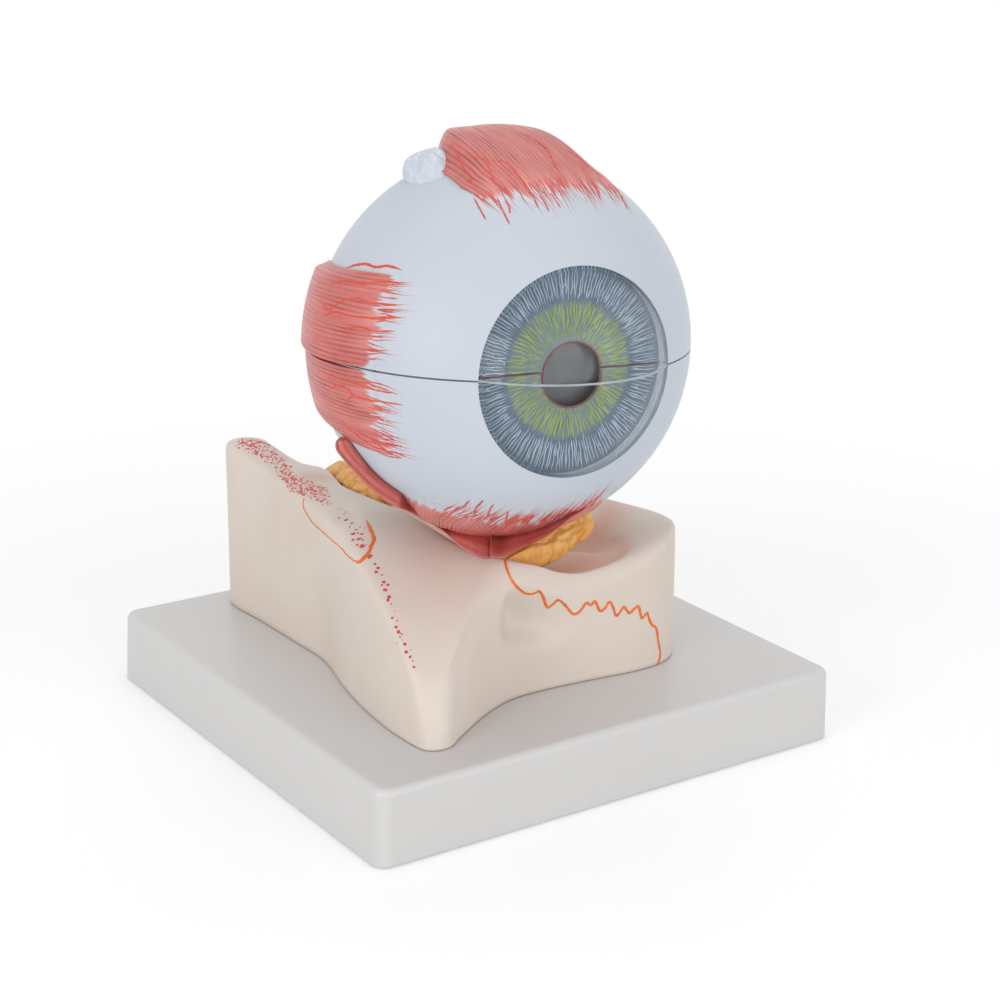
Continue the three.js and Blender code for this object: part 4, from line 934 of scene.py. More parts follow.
def dome(curve, reach):
    """Outline of a skin of the cornea, from its foot at the limbus to the apex."""
    angles = np.radians(np.linspace(180 - math.degrees(math.asin(reach / curve)), 180, 40))
    arc = np.stack([np.abs(curve * np.sin(angles)), dome_centre + curve * np.cos(angles)], 1)
    return np.concatenate([[(reach, LIMBUS_Y + FOOT_LENGTH)], arc])


def edge_strip(outer, inner, low, high):
    """Thin plate on a cut edge between two lines of [distance from the axis, place along it]."""
    lines = [np.concatenate([line, line[-2::-1] * (-1, 1)]) for line in (outer, inner)]
    flat = np.stack(lines, 1).reshape(-1, 2)
    layers = [np.column_stack([flat, np.full(len(flat), z)]) for z in (high, low)]
    return slab(*layers, len(lines[0]) - 1, 1)


# The band in the bore is a grey liner that paints the shade of the bore wall round the cornea
LIMBUS_BAND, CUT_EDGE, CUT_EDGE_SINK = 0.04, 0.09, 0.02
band_r, step_r = LIMBUS_RADIUS - 0.02, IRIS_RADIUS + 0.06
outside = np.array([(band_r, LIMBUS_Y + 0.1), (band_r, SHELF_Y), (step_r, SHELF_Y)])
inside = np.array([(r - LIMBUS_BAND * (k < 2), y - LIMBUS_BAND * (k > 0)) for k, (r, y) in enumerate(outside)])
cornea_skins = dome(CORNEA_CURVE, dome_reach), dome(CORNEA_CURVE - CORNEA_WALL, dome_reach - CORNEA_WALL)
for prefix, side in SIDES:
    band = make(prefix + "_bore_shade_band", half_turned(outside, inside, side), EYE, LOOK_BORE_SHADE, 35)
    rides_with(band, prefix + "_sclera")
    clear = make(prefix + "_clear_cornea", half_turned(*cornea_skins, side), EYE, LOOK_CORNEA, 30)
    stands_for(clear, prefix + "_cornea")
    # Each cut face of the cornea gets a thin whitish strip: the painted highlight of the seam
    heights = sorted((side * (HALF_SEAM - CUT_EDGE), side * (HALF_SEAM + CUT_EDGE_SINK)))
    edge = make(prefix + "_cornea_cut_edge", edge_strip(*cornea_skins, *heights), EYE, LOOK_SEAM_HIGHLIGHT, 30)
    rides_with(edge, prefix + "_cornea")

IRIS_BACK = IRIS_FRONT - IRIS_THICKNESS
CHAMBER_BACK = IRIS_BACK - CLEARANCE
INNER_ZONE, PUPIL_EDGE = 0.66, 0.5


def iris_half(side, nu=180, nv=48):
    """Half of the iris disc with its pupil: its shape, UV places and the share of the inner zone."""
    turn_rim = side * math.asin(HALF_SEAM / IRIS_RADIUS)
    start = math.asin((side * HALF_SEAM - PUPIL_Z) / PUPIL_RADIUS)
    u, v = grid(nu, nv)
    rim_angle, pupil_angle = lerp(turn_rim, side * math.pi - turn_rim, u), lerp(start, side * math.pi - start, u)
    x = lerp(PUPIL_X + PUPIL_RADIUS * np.cos(pupil_angle), IRIS_RADIUS * np.cos(rim_angle), v)
    z = lerp(PUPIL_Z + PUPIL_RADIUS * np.sin(pupil_angle), IRIS_RADIUS * np.sin(rim_angle), v)
    z = side * np.maximum(side * z, HALF_SEAM)
    radius, angle = np.hypot(x, z), np.arctan2(z, x)
    relief = 0.12 * flat_ripple(angle * 20, radius * 0.3, 3, 5) * np.sin(math.pi * v)
    front = np.stack([x, -IRIS_FRONT + 0.15 + relief, z], 1)
    rear = np.stack([x, lerp(PUPIL_EDGE - IRIS_FRONT, -IRIS_BACK, smooth(v / 0.15)), z], 1)
    uv = np.stack([radius, angle * IRIS_RADIUS], 1)
    zone = smooth((INNER_ZONE * IRIS_RADIUS - radius) / 2.5 + 0.5)
    return slab(front, rear, nu, nv), np.tile(uv, (2, 1)), np.tile(zone, 2)


def iris_line(x, z, y, width, height):
    """Stroke of paint on the front of the iris."""
    points = np.stack([x, np.full(len(x), y), z], 1)
    return ribbon(points, np.tile([0.0, -1.0, 0.0], (len(x), 1)), width, height, 0.3)


def iris_strokes(side, count, reach, widths, wave, height, seed, jitter=0.3, lean=0.6):
    """Wavy painted rays between the two shares of the iris radius, on one half."""
    rng = np.random.default_rng(seed)
    parts = []
    for k in range(count):
        angle = TAU * (k + rng.uniform(-jitter, jitter)) / count
        r0 = IRIS_RADIUS * (reach[0] + rng.uniform(0, reach[2]))
        r1 = IRIS_RADIUS * (reach[1] - rng.uniform(0, reach[3]))
        r = np.linspace(r0, r1, 18)
        length, phase, bend = rng.uniform(4, 8), rng.uniform(0, TAU), rng.uniform(-lean, lean)
        sway = wave * rng.uniform(0.5, 1.2) * np.sin(TAU * r / length + phase) + bend * (r - r0) / (r1 - r0)
        turn = angle + sway / r
        x, z = r * np.cos(turn), r * np.sin(turn)
        clear = np.hypot(x - PUPIL_X, z - PUPIL_Z) > PUPIL_RADIUS + 0.5
        inside = clear & (side * z > HALF_SEAM + 0.1)
        if inside.sum() < 5:
            continue
        x, z = x[inside], z[inside]
        t = np.linspace(0, 1, len(x))
        width = rng.uniform(*widths) * np.clip(np.minimum(t, 1 - t) * 7, 0.15, 1) * (1 + 0.25 * np.sin(9 * t + phase))
        parts.append(iris_line(x, z, 0.02 - IRIS_FRONT, width, height))
    return parts


OUTER_RAYS, FINE_RAYS, INNER_RAYS, COLLAR_RAYS = 164, 44, 100, 88
LINE_Y = -IRIS_FRONT - 0.02
for prefix, side in SIDES:
    shape, uv, zone = iris_half(side)
    disc = make(prefix + "_iris_disc", shape, EYE, LOOK_IRIS, 35, uv=uv, inner=zone)
    stands_for(disc, prefix + "_iris")
    pale = iris_strokes(side, OUTER_RAYS, (0.67, 0.99, 0.06, 0.03), (0.2, 0.34), 0.13, 0.16, 21, 0.2, 0.3)
    pale += iris_strokes(side, FINE_RAYS, (0.64, 0.92, 0.2, 0.14), (0.18, 0.28), 0.2, 0.14, 22)
    rides_with(make(prefix + "_iris_pale_rays", merged(pale), EYE, LOOK_PALE_RAY, 60), prefix + "_iris")
    green = iris_strokes(side, INNER_RAYS, (0.38, 0.69, 0.12, 0.05), (0.4, 0.62), 0.2, 0.16, 23, 0.25, 0.4)
    green += iris_strokes(side, COLLAR_RAYS, (0.31, 0.50, 0.03, 0.12), (0.24, 0.38), 0.14, 0.12, 24, 0.25, 0.4)
    rides_with(make(prefix + "_iris_green_rays", merged(green), EYE, LOOK_GREEN_RAY, 60), prefix + "_iris")
    start = math.asin((side * (HALF_SEAM + 0.05) - PUPIL_Z) / PUPIL_RADIUS)
    turn = np.linspace(start, side * math.pi - start, 60)
    r = PUPIL_RADIUS + 0.3
    ring = iris_line(PUPIL_X + r * np.cos(turn), PUPIL_Z + r * np.sin(turn), LINE_Y, np.full(60, 0.5), 0.16)
    rides_with(make(prefix + "_pupil_line", ring, EYE, LOOK_PUPIL_RING, 60), prefix + "_iris")
    if side < 0:
        z = side * (HALF_SEAM + 0.16)
        gap = math.sqrt((PUPIL_RADIUS + 0.4) ** 2 - (z - PUPIL_Z) ** 2)
        strips = []
        for x0, x1 in ((0.3 - IRIS_RADIUS, PUPIL_X - gap), (PUPIL_X + gap, IRIS_RADIUS - 0.3)):
            strips.append(iris_line(np.linspace(x0, x1, 40), np.full(40, z), LINE_Y, np.full(40, 0.28), 0.1))
        rides_with(make("iris_seam_line", merged(strips), EYE, LOOK_PUPIL_RING, 60), "lower_iris")

# Inside of the eye
choroid_front = math.degrees(math.acos(-CHAMBER_BACK / CHOROID_ALONG))
retina_front = math.degrees(math.acos(-CHAMBER_BACK / RETINA_ALONG))
for prefix, side in SIDES:
    points, faces = half_turned(
        ellipse_arc(CHOROID_ACROSS, CHOROID_ALONG, 0, choroid_front, 60),
        ellipse_arc(RETINA_ACROSS, RETINA_ALONG, 0, retina_front, 60),
        side,
    )
    retina = np.repeat([0.0, 1.0], len(points) // 2)
    shell = make(prefix + "_choroid_shell", (points, faces), EYE, LOOK_CHOROID, 35, retina=retina)
    stands_for(shell, prefix + "_choroid")


def on_retina(x, z, rise):
    """Point above the inside of the back wall, and the way into the eye there."""
    y = RETINA_ALONG * np.sqrt(1 - (x**2 + z**2) / RETINA_ACROSS**2)
    inward = -units(np.stack([x / RETINA_ACROSS**2, y / RETINA_ALONG**2, z / RETINA_ACROSS**2], -1))
    return np.stack([x, y, z], -1) + inward * np.asarray(rise)[..., None], inward


def retina_vessel(side, from_disc, degrees, bend, start, end, width):
    """Tapering stroke that leaves the optic disc at an angle and bends away with distance."""
    s = np.linspace(start, end, 26)
    angle = math.radians(degrees) + bend * (s - start) / 40 + 0.05 * np.sin(s * 0.7 + degrees)
    x, z = DISC_X + from_disc[0] + s * np.cos(angle), side * (from_disc[1] + s * np.sin(angle))
    kept = (np.hypot(x, z) < VESSEL_LIMIT) & (side * z > HALF_SEAM + 0.5)
    last = len(kept) if kept.all() else int(np.argmin(kept))
    points, normals = on_retina(x[:last], z[:last], np.full(last, 0.02))
    return ribbon(points, normals, width * np.linspace(1, 0.3, last), 0.14)


def choroid_vessel(side, degrees, phase):
    """Winding stroke over the outside of the choroid from the back towards the front."""
    t = np.radians(np.linspace(24, choroid_front - 8, 70))
    turn = math.radians(degrees) + 0.09 * np.sin(7 * t + phase) + 0.04 * np.sin(17 * t + 2 * phase)
    unit = np.stack([np.sin(t) * np.cos(turn), np.cos(t), side * np.sin(t) * np.sin(turn)], 1)
    axes = np.array([CHOROID_ACROSS, CHOROID_ALONG, CHOROID_ACROSS])
    return ribbon(unit * axes, units(unit / axes), 0.9 * np.linspace(1.2, 0.5, 70), 0.16)


# Optic disc, main vessels of the retina (degrees, bend) and the choroid's own vessels
DISC_X, DISC_RADIUS, VESSEL_LIMIT = -11.0, 4.0, 45.0
STEMS = [(16, 0.7, 40), (38, 0.5, 46), (62, -0.2, 46), (92, 0.25, 44), (124, -0.5, 40), (150, -0.6, 36)]
for prefix, side in SIDES:
    turn, reach = grid(40, 8)
    x = DISC_X + DISC_RADIUS * reach * np.cos(math.pi * turn)
    z = side * np.maximum(DISC_RADIUS * reach * np.sin(math.pi * turn), HALF_SEAM + 0.1)
    layers = [on_retina(x, z, rise * (1 - 0.8 * reach**4))[0] for rise in (0.2, 0.02)]
    disc = make(prefix + "_optic_disc", slab(*layers, 40, 8), EYE, LOOK_NERVE, 50)
    rides_with(disc, prefix + "_choroid")
    red, blue = [], []
    for k, (degrees, bend, end) in enumerate(STEMS):
        for group, off, width in ((red, 0, 0.9), (blue, 7, 1.1)):
            group.append(retina_vessel(side, (0, 1.0), degrees + off, bend, 1.5, end, width))
            away = math.radians(degrees + off)
            fork = (12 * math.cos(away), 1.0 + 12 * math.sin(away))
            group.append(retina_vessel(side, fork, degrees + off + 24, bend, 0.0, end - 16, width * 0.55))
            group.append(retina_vessel(side, fork, degrees + off - 20, bend * 0.5, 0.0, end - 20, width * 0.5))
    for k in range(8):
        (red if k % 2 else blue).append(choroid_vessel(side, 12 + 22 * k, 1.7 * k + side))
    for name, strokes, look in (("_red_vessels", red, LOOK_VESSEL), ("_blue_vessels", blue, LOOK_BLUE_VESSEL)):
        rides_with(make(prefix + name, merged(strokes), EYE, look, 60), prefix + "_choroid")

LENS_RADIUS, LENS_EDGE, LENS_FRONT_CURVE, LENS_BACK_CURVE, LENS_PLAY = 22.5, 3.0, 50.0, 30.0, 1.0
GROOVE_PLAY, CILIARY_LIP, CILIARY_WALL = 0.4, 0.6, 1.8


def cap_depth(curve):
    return curve - math.sqrt(curve**2 - LENS_RADIUS**2)


LENS_FRONT = -CHAMBER_BACK
LENS_RIM_FRONT = LENS_FRONT + cap_depth(LENS_FRONT_CURVE)
LENS_RIM_BACK = LENS_RIM_FRONT + LENS_EDGE
LENS_BACK = LENS_RIM_BACK + cap_depth(LENS_BACK_CURVE)


def cap(curve, apex, side):
    angles = np.linspace(0, math.asin(LENS_RADIUS / curve), 30)
    return np.stack([curve * np.sin(angles), apex + side * curve * (1 - np.cos(angles))], 1)


profile = np.concatenate([cap(LENS_FRONT_CURVE, LENS_FRONT, 1), cap(LENS_BACK_CURVE, LENS_BACK, -1)[::-1]])
stands_for(make("clear_lens_body", lathe(profile, 128), EYE, LOOK_LENS, 30), "lens")

body_across, body_along = RETINA_ACROSS - SHELL_PLAY, RETINA_ALONG - SHELL_PLAY
body_front = LENS_BACK + SHELL_PLAY
body_arc = ellipse_arc(body_across, body_along, 0, math.degrees(math.acos(body_front / body_along)), 60)
shape = lathe(np.concatenate([body_arc, [[0.0, body_front]]]), 128)
stands_for(make("clear_vitreous_body", shape, EYE, LOOK_VITREOUS, 30), "vitreous_body")

CILIARY_RIDGES, RIDGE_DEPTH = 72, 0.8
lip, groove = LENS_RADIUS - CILIARY_LIP, LENS_RADIUS + GROOVE_PLAY
front, rear = LENS_RIM_FRONT - LENS_PLAY, LENS_RIM_BACK + LENS_PLAY
start_deg = math.degrees(math.acos((rear + CILIARY_WALL) / body_along))
end_deg = math.degrees(math.acos(-CHAMBER_BACK / body_along))
ciliary_outer = ellipse_arc(body_across, body_along, start_deg, end_deg, 40)
inner_line = np.array([
    [lip, rear + CILIARY_WALL], [lip, rear], [groove, rear], [groove, front], [lip, front], [lip, front - CILIARY_WALL],
])
steps = np.linspace(0, len(inner_line) - 1, 41)
ciliary_inner = np.stack([np.interp(steps, range(len(inner_line)), inner_line[:, k]) for k in range(2)], 1)
for prefix, side in SIDES:
    points, faces = half_turned(ciliary_outer, ciliary_inner, side, 576)
    turn, inner_half = np.arctan2(points[:, 2], points[:, 0]), np.arange(len(points)) >= len(points) // 2
    ridges = RIDGE_DEPTH * (0.5 + 0.5 * np.cos(CILIARY_RIDGES * turn)) * inner_half * (side * points[:, 2] > 1)
    points[:, [0, 2]] *= (1 + ridges / np.hypot(points[:, 0], points[:, 2]))[:, None]
    ring = make(prefix + "_ciliary_ring", (points, faces), EYE, LOOK_CILIARY, 35)
    stands_for(ring, prefix + "_ciliary_body")


# Muscle slabs on the eyeball
LEAST_HEIGHT_SHARE, PAINT_LOW = 0.02, 0.02
FIBRE_SPACING = 1.35
TIPS_FROM, TIPS_RUN = 0.72, 0.28


def ball_point(axis, sign, across, along, rise):
    """Points at a height above the side of the ball that faces along an axis of the eye, one way or the other."""
    rest = 1 - (across / BALL_RADIUS) ** 2 - (along / BALL_AXIAL) ** 2
    height = sign * BALL_RADIUS * np.sqrt(np.maximum(rest, LEAST_HEIGHT_SHARE))
    return on_ball(across, along, height, rise)[0] if axis == "z" else on_ball(height, along, across, rise)[0]


def fibres(along, across, spacing, seed):
    """Strength (0 to 1) of dark lines that run along, uneven and broken."""
    phase = across / spacing + 0.3 * flat_ripple(along * 0.12, across * 0.5, 5, seed)
    line = (0.5 + 0.5 * np.cos(TAU * phase)) ** 2.2
    return line * np.clip(0.65 + 0.45 * flat_ripple(along * 0.15, across * 1.1, 4, seed + 1), 0.1, 1)


def tufts(v, count, depth, seed):
    """Ragged front edge: how far each place along it reaches out, 0 to depth."""
    rng = np.random.default_rng(seed)
    out = np.zeros_like(v)
    for k in range(count):
        centre = (k + rng.uniform(0.1, 0.9)) / count
        half = rng.uniform(0.5, 1.1) / count
        reach = depth * rng.uniform(0.35, 1.0)
        out = np.maximum(out, reach * np.clip(1 - np.abs(v - centre) / half, 0, 1) ** 1.3)
    return out


def muscle(name, node_name, axis, sign, back, left, right, tips, rise, side_taper, front_taper,
           seam_edge=False, ragged=3.0, seed=1, nu=90, nv=260, teeth=40, fade=0.1):
    """Slab on the ball: its two sides by (along, across) places, its front edge by (across, along) places."""
    u, v = grid(nu, nv)
    front_across = lerp(tips[0][0], tips[-1][0], v)
    tip = np.interp(front_across, *zip(*sorted(tips)))
    along = lerp(back, tip, u)
    reach = tufts(v, teeth, ragged, seed) + tufts(v, teeth * 4, ragged * 0.4, seed + 1) - ragged * 0.5
    along -= reach * smooth((u - TIPS_FROM) / TIPS_RUN)
    sides = [np.interp(along, *zip(*sorted(side))) for side in (left, right)]
    across = lerp(sides[0], sides[1], v)
    side_share = smooth((1 - v if seam_edge else np.minimum(v, 1 - v)) / side_taper)
    lift = np.interp(v, (0, 0.35), rise) * side_share * smooth((1 - u) / front_taper)
    width = abs(tips[-1][0] - tips[0][0])
    groove = fibres(-along, v * width, FIBRE_SPACING, seed + 5)
    edge = 0.1 + (CLEARANCE + 0.5) * smooth((1 - u) / 0.25)
    top = ball_point(axis, sign, across, along, edge + lift - 0.16 * groove * smooth(lift * 2 + 0.1))
    low = ball_point(axis, sign, across, along, np.full_like(u, PAINT_LOW))
    pale = smooth((u - TIPS_FROM) / TIPS_RUN) * (0.5 + 0.4 * flat_ripple(along * 0.1, across, 4, seed + 7))
    brush = tufts(v, teeth * 5, 1.0, seed + 8) * 0.6 + tufts(v, teeth * 2, 1.0, seed + 9) * 0.4
    bare = smooth((u - 1 + fade * (1.15 - brush)) / 0.03 + 0.5)
    values = {"groove": groove, "tip": np.clip(pale, 0, 1), "bare": bare}
    obj = make(name, slab(top, low, nu, nv), EYE, LOOK_MUSCLE, 50,
               uv=np.tile(np.stack([-along, v * width], 1), (2, 1)), **{k: np.tile(a, 2) for k, a in values.items()})
    return stands_for(obj, node_name)


SUPERIOR_LEFT = [
    (26, -6), (20, -11), (15, -15.5), (10, -20.5), (5, -22.8), (0, -24), (-4.6, -24.5), (-17.4, -24),
    (-24.6, -21.3), (-36, -18),
]
SUPERIOR_RIGHT = [(26, 16), (10, 19), (-5, 25), (-23, 31), (-36, 32)]
SUPERIOR_FRONT = [(-24, -28), (-16, -30.3), (-5, -30), (10, -29.5), (20, -26), (31, -22)]
superior = muscle("superior_rectus_slab", "superior_rectus", "z", 1, 26.0, SUPERIOR_LEFT, SUPERIOR_RIGHT,
                  SUPERIOR_FRONT, (8.4, 7.0), 0.2, 0.75, ragged=5.0, seed=31, nv=400, teeth=15, fade=0.07)
# What the four slabs at the sides have in common
SIDE_SLAB = dict(axis="x", back=22.0, side_taper=0.14, front_taper=0.62, seam_edge=True, ragged=5.5, nv=200, fade=0.08)
SEAM_PLAY = 0.5


def side_muscle(node_name, sign, back_width, front_width, front, rise, seed, teeth=8):
    seam = math.copysign(SEAM_PLAY, front_width)
    inner_side = [(22, seam), (-40, seam)]
    outer_side = [(22, back_width), (0, lerp(back_width, front_width, 0.5)), (front, front_width)]
    return muscle(node_name + "_slab", node_name, sign=sign, left=inner_side, right=outer_side,
                  tips=[(seam, front), (front_width, front)], rise=(rise, rise), seed=seed, teeth=teeth, **SIDE_SLAB)


medial_up = side_muscle("medial_rectus_upper", -1, 25, 28, -24.5, 2.9, 41)
medial_low = side_muscle("medial_rectus_lower", -1, -20, -27, -24.5, 1.6, 51)
side_muscle("lateral_rectus_upper", 1, 19, 24, -14.0, 2.9, 61)
side_muscle("lateral_rectus_lower", 1, -19, -24, -14.0, 2.9, 71)

INSERTION_LEFT = [(24, -15), (5, -28), (-8, -36), (-14, -39.5), (-18, -42), (-30, -42)]
INSERTION_RIGHT = [(24, 15), (-10, 20), (-30, 20), (-40, 18)]
INSERTION_FRONT = [
    (-42, -17), (-38.5, -20), (-35.2, -22), (-32, -24), (-30, -26.5), (-25.7, -29), (-21.4, -31), (-16.7, -32),
    (-12.3, -33.5), (-7.6, -34.3), (-2.6, -35), (2.2, -35.5), (8.4, -36.8), (18, -38),
]
insertion = muscle("inferior_insertion_slab", "inferior_rectus_insertion", "z", -1, 24.0, INSERTION_LEFT,
                   INSERTION_RIGHT, INSERTION_FRONT, (0.5, 0.8), 0.1, 0.5, ragged=2.0, seed=81, nv=420, teeth=22)
drilled(insertion, [SEAT_HOLE])

ball_surface = Surface(shells["upper"], shells["lower"], superior, medial_up, medial_low, insertion)

# Loose strands and vessels painted over the muscles and past their ragged edges, by image places
UPPER_VESSELS = [
    ([(346, 268), (356, 265), (366, 264), (376, 267), (388, 266), (402, 270)], 0.75),
    ([(330, 284), (344, 281), (362, 284), (380, 282), (409, 283)], 0.55),
    ([(318, 296), (328, 309), (340, 302), (356, 298), (372, 303), (402, 305)], 0.5),
    ([(322, 316), (336, 312), (352, 316), (372, 318), (401, 318)], 0.5),
    ([(340, 332), (356, 327), (374, 331), (396, 331)], 0.45),
    ([(470, 158), (478, 158), (486, 160), (490, 170), (494, 184)], 0.55),
    ([(492, 160), (506, 162), (514, 170), (522, 180), (530, 190)], 0.5),
    ([(520, 132), (536, 140), (548, 150), (552, 160), (558, 170)], 0.45),
    ([(450, 142), (458, 156), (466, 172), (474, 186)], 0.45),
    ([(566, 150), (580, 158), (590, 168), (604, 178)], 0.4),
]
UPPER_STRANDS = [
    ([(474, 198), (480, 209), (486, 220)], 0.5),
    ([(497, 198), (503, 211), (510, 225)], 0.5),
    ([(505, 200), (509, 207), (510, 214)], 0.5),
    ([(528, 190), (534, 198), (538, 208)], 0.45),
    ([(540, 195), (545, 203), (549, 212)], 0.45),
    ([(550, 192), (556, 201), (561, 208)], 0.4),
    ([(594, 186), (598, 192), (600, 199)], 0.4),
    ([(618, 190), (623, 200), (628, 210)], 0.45),
    ([(380, 297), (390, 298), (398, 299)], 0.35),
    ([(378, 310), (386, 311), (394, 312)], 0.35),
]
LOWER_VESSELS = [
    ([(322, 372), (338, 378), (356, 384), (376, 390), (398, 394)], 0.45),
    ([(328, 390), (340, 385), (352, 394), (346, 402)], 0.45),
    ([(352, 396), (368, 400), (384, 402), (403, 405)], 0.45),
    ([(350, 426), (366, 436), (384, 444), (402, 446)], 0.45),
    ([(340, 420), (356, 434), (372, 446), (392, 452)], 0.4),
]
LOWER_STRANDS = [
    ([(372, 440), (384, 449), (395, 455)], 0.45),
    ([(374, 450), (388, 456), (402, 458)], 0.45),
    ([(372, 428), (384, 435), (396, 441)], 0.4),
    ([(448, 517), (458, 508), (464, 506), (470, 500)], 0.55),
    ([(474, 516), (476, 508), (480, 504), (483, 500)], 0.6),
    ([(486, 518), (489, 512), (491, 508), (494, 504)], 0.55),
    ([(505, 522), (507, 516), (508, 511)], 0.5),
    ([(526, 524), (530, 519), (534, 514)], 0.5),
    ([(542, 523), (546, 519), (550, 515)], 0.4),
    ([(560, 520), (566, 515), (572, 511)], 0.4),
]


def loose_strands(axis, sign, count, across_range, tip_at, drift, lengths, seed):
    """Fine tapering strokes along the fibres, across a slab's ragged edge and out over the white."""
    rng = np.random.default_rng(seed)
    parts = []
    for _ in range(count):
        across = rng.uniform(*across_range)
        long = rng.uniform(*lengths)
        t = np.linspace(0, 1, 12)
        start = tip_at(across) + rng.uniform(3, 6)
        along = start - t * (long + rng.uniform(3, 6))
        sway = across + drift * (t**1.5) * rng.uniform(0.3, 1.2) + 0.25 * np.sin(5 * t + rng.uniform(0, 6))
        where = ball_point(axis, sign, sway, along, np.zeros(12)) @ EYE_AXES.T + EYE_MIDDLE
        found = [ball_surface.outside(p, EYE_MIDDLE) for p in where]
        points, normals = (np.array([f[k] for f in found]) for k in range(2))
        widths = rng.uniform(0.3, 0.6) * np.clip(np.minimum(t * 5, (1 - t) * 1.6), 0.12, 1)
        parts.append(ribbon(points, normals, widths, 0.1))
    return parts


def tip_line(places):
    return lambda across: np.interp(across, *zip(*places))


SUPERIOR_TIPS = tip_line([(-23, -26), (-16, -29), (-5, -30), (10, -29), (20, -26), (28, -23)])
INSERTION_LINE = tip_line([(-38, -20), (-32, -24), (-25.7, -29), (-12.3, -33), (2.2, -35), (18, -37)])
MEDIAL_TIPS = tip_line([(-27, -25), (0, -25), (28, -25)])
strand_sets = {
    "upper_strands": loose_strands("z", 1, 70, (-22, 28), SUPERIOR_TIPS, 2.0, (1.0, 6.0), 101)
    + loose_strands("x", -1, 34, (2, 27), MEDIAL_TIPS, 0.6, (1.0, 6.0), 102),
    "lower_strands": loose_strands("x", -1, 30, (-26, -2), MEDIAL_TIPS, -2.0, (1.0, 6.0), 103)
    + loose_strands("z", -1, 120, (-31, 16), INSERTION_LINE, 2.5, (0.5, 4.5), 104),
}
VESSEL_GAIN, VESSEL_HEIGHT = 1.2, 0.16
for name, lines, look in (
    ("upper_vessels", UPPER_VESSELS, LOOK_VESSEL),
    ("upper_strands", UPPER_STRANDS, LOOK_STRAND),
    ("lower_vessels", LOWER_VESSELS, LOOK_VESSEL),
    ("lower_strands", LOWER_STRANDS, LOOK_STRAND),
):
    parts = [
        drawn(ball_surface, places, width * VESSEL_GAIN, VESSEL_HEIGHT, 8, 0.12, i)
        for i, (places, width) in enumerate(lines)
    ]
    rides_with(make(name, merged(parts + strand_sets.get(name, [])), ROW, look, 60), name[:5] + "_sclera")


# Bed muscles: the front ones by their places in the image, the rest of the inferior rectus from its CAD solid
def band_coordinates(points, directions):
    """Place along and across a band for points near it, from the eye's middle."""
    local = (points - EYE_MIDDLE) @ EYE_AXES
    unit, line = units(local), units(curve_through(directions, 24))
    nearest = np.argmax(unit @ line.T, 1)
    run = np.gradient(line, axis=0)
    side = units(np.cross(run, line))
    steps = np.linalg.norm(np.diff(line, axis=0), axis=1)
    travelled = np.concatenate([[0], np.cumsum(steps)]) * BALL_RADIUS
    past = np.einsum("ij,ij->i", unit - line[nearest], run[nearest]) / np.linalg.norm(run[nearest], axis=1)
    along = travelled[nearest] + past * BALL_RADIUS
    return along, np.einsum("ij,ij->i", unit, side[nearest]) * BALL_RADIUS


def on_sight(x, y, rise):
    """Where a place in the image meets the ball raised by rise, or else its nearest place to the ball."""
    axes = np.array([BALL_RADIUS, BALL_AXIAL, BALL_RADIUS]) + rise
    way = EYE_AXES.T @ sight(x, y)
    start = EYE_AXES.T @ (np.array(CAMERA_PLACE) - EYE_MIDDLE)
    scaled, from_middle = way / axes, start / axes
    a, b, c = scaled @ scaled, 2 * from_middle @ scaled, from_middle @ from_middle - 1
    root = math.sqrt(max(b * b - 4 * a * c, 0))
    return start + (-b - root) / (2 * a) * way, way


BED_GAP = 0.35
BED_FIBRES, BELLY_FIBRES = 1.15, 1.1


def hugging(stations, steps=12, front_steps=22, back_steps=10):
    """Body on the ball between two lines in the image. Each station has the place of its upper line and
    of its lower line, its height above the ball at the lower line and how deep it goes on behind.
    Gives the shape, the place of each point along and across it, and how far over the front it lies."""
    rings, place_along, travelled, last = [], [], 0.0, None
    for ux, uy, lx, ly, rise, deep in curve_through(stations, steps):
        high = on_sight(ux, uy, BED_GAP)[0]
        low, way = on_sight(lx, ly, max(rise, BED_GAP))
        behind = on_ball(*(low + way * deep), BED_GAP)[0]
        control = 2 * low - (high + behind) / 2
        t = np.linspace(0, 1, front_steps)[:, None]
        outer = high * (1 - t) ** 2 + 2 * control * t * (1 - t) + behind * t**2
        floor = on_ball(*outer.T, BED_GAP)[0]
        beneath = np.linalg.norm(outer, axis=1) < np.linalg.norm(floor, axis=1)
        outer[beneath] = floor[beneath]
        t = np.linspace(0, 1, back_steps + 2)[1:-1][:, None]
        inner = on_ball(*lerp(behind, high, t).T, BED_GAP - 0.05)[0]
        rings.append(np.concatenate([outer, inner]))
        travelled += 0 if last is None else np.linalg.norm(low - last)
        last = low
        place_along.append(travelled)
    count = len(rings[0])
    around = np.concatenate([[0], np.cumsum(np.linalg.norm(np.diff(rings[len(rings) // 2], axis=0), axis=1))])
    share = np.tile(np.concatenate([np.linspace(0, 1, front_steps), np.linspace(1, 0, back_steps)]), len(rings))
    shape = np.concatenate(rings), tube_faces(len(rings), count)
    return shape, np.repeat(place_along, count), np.tile(around, len(rings)), share


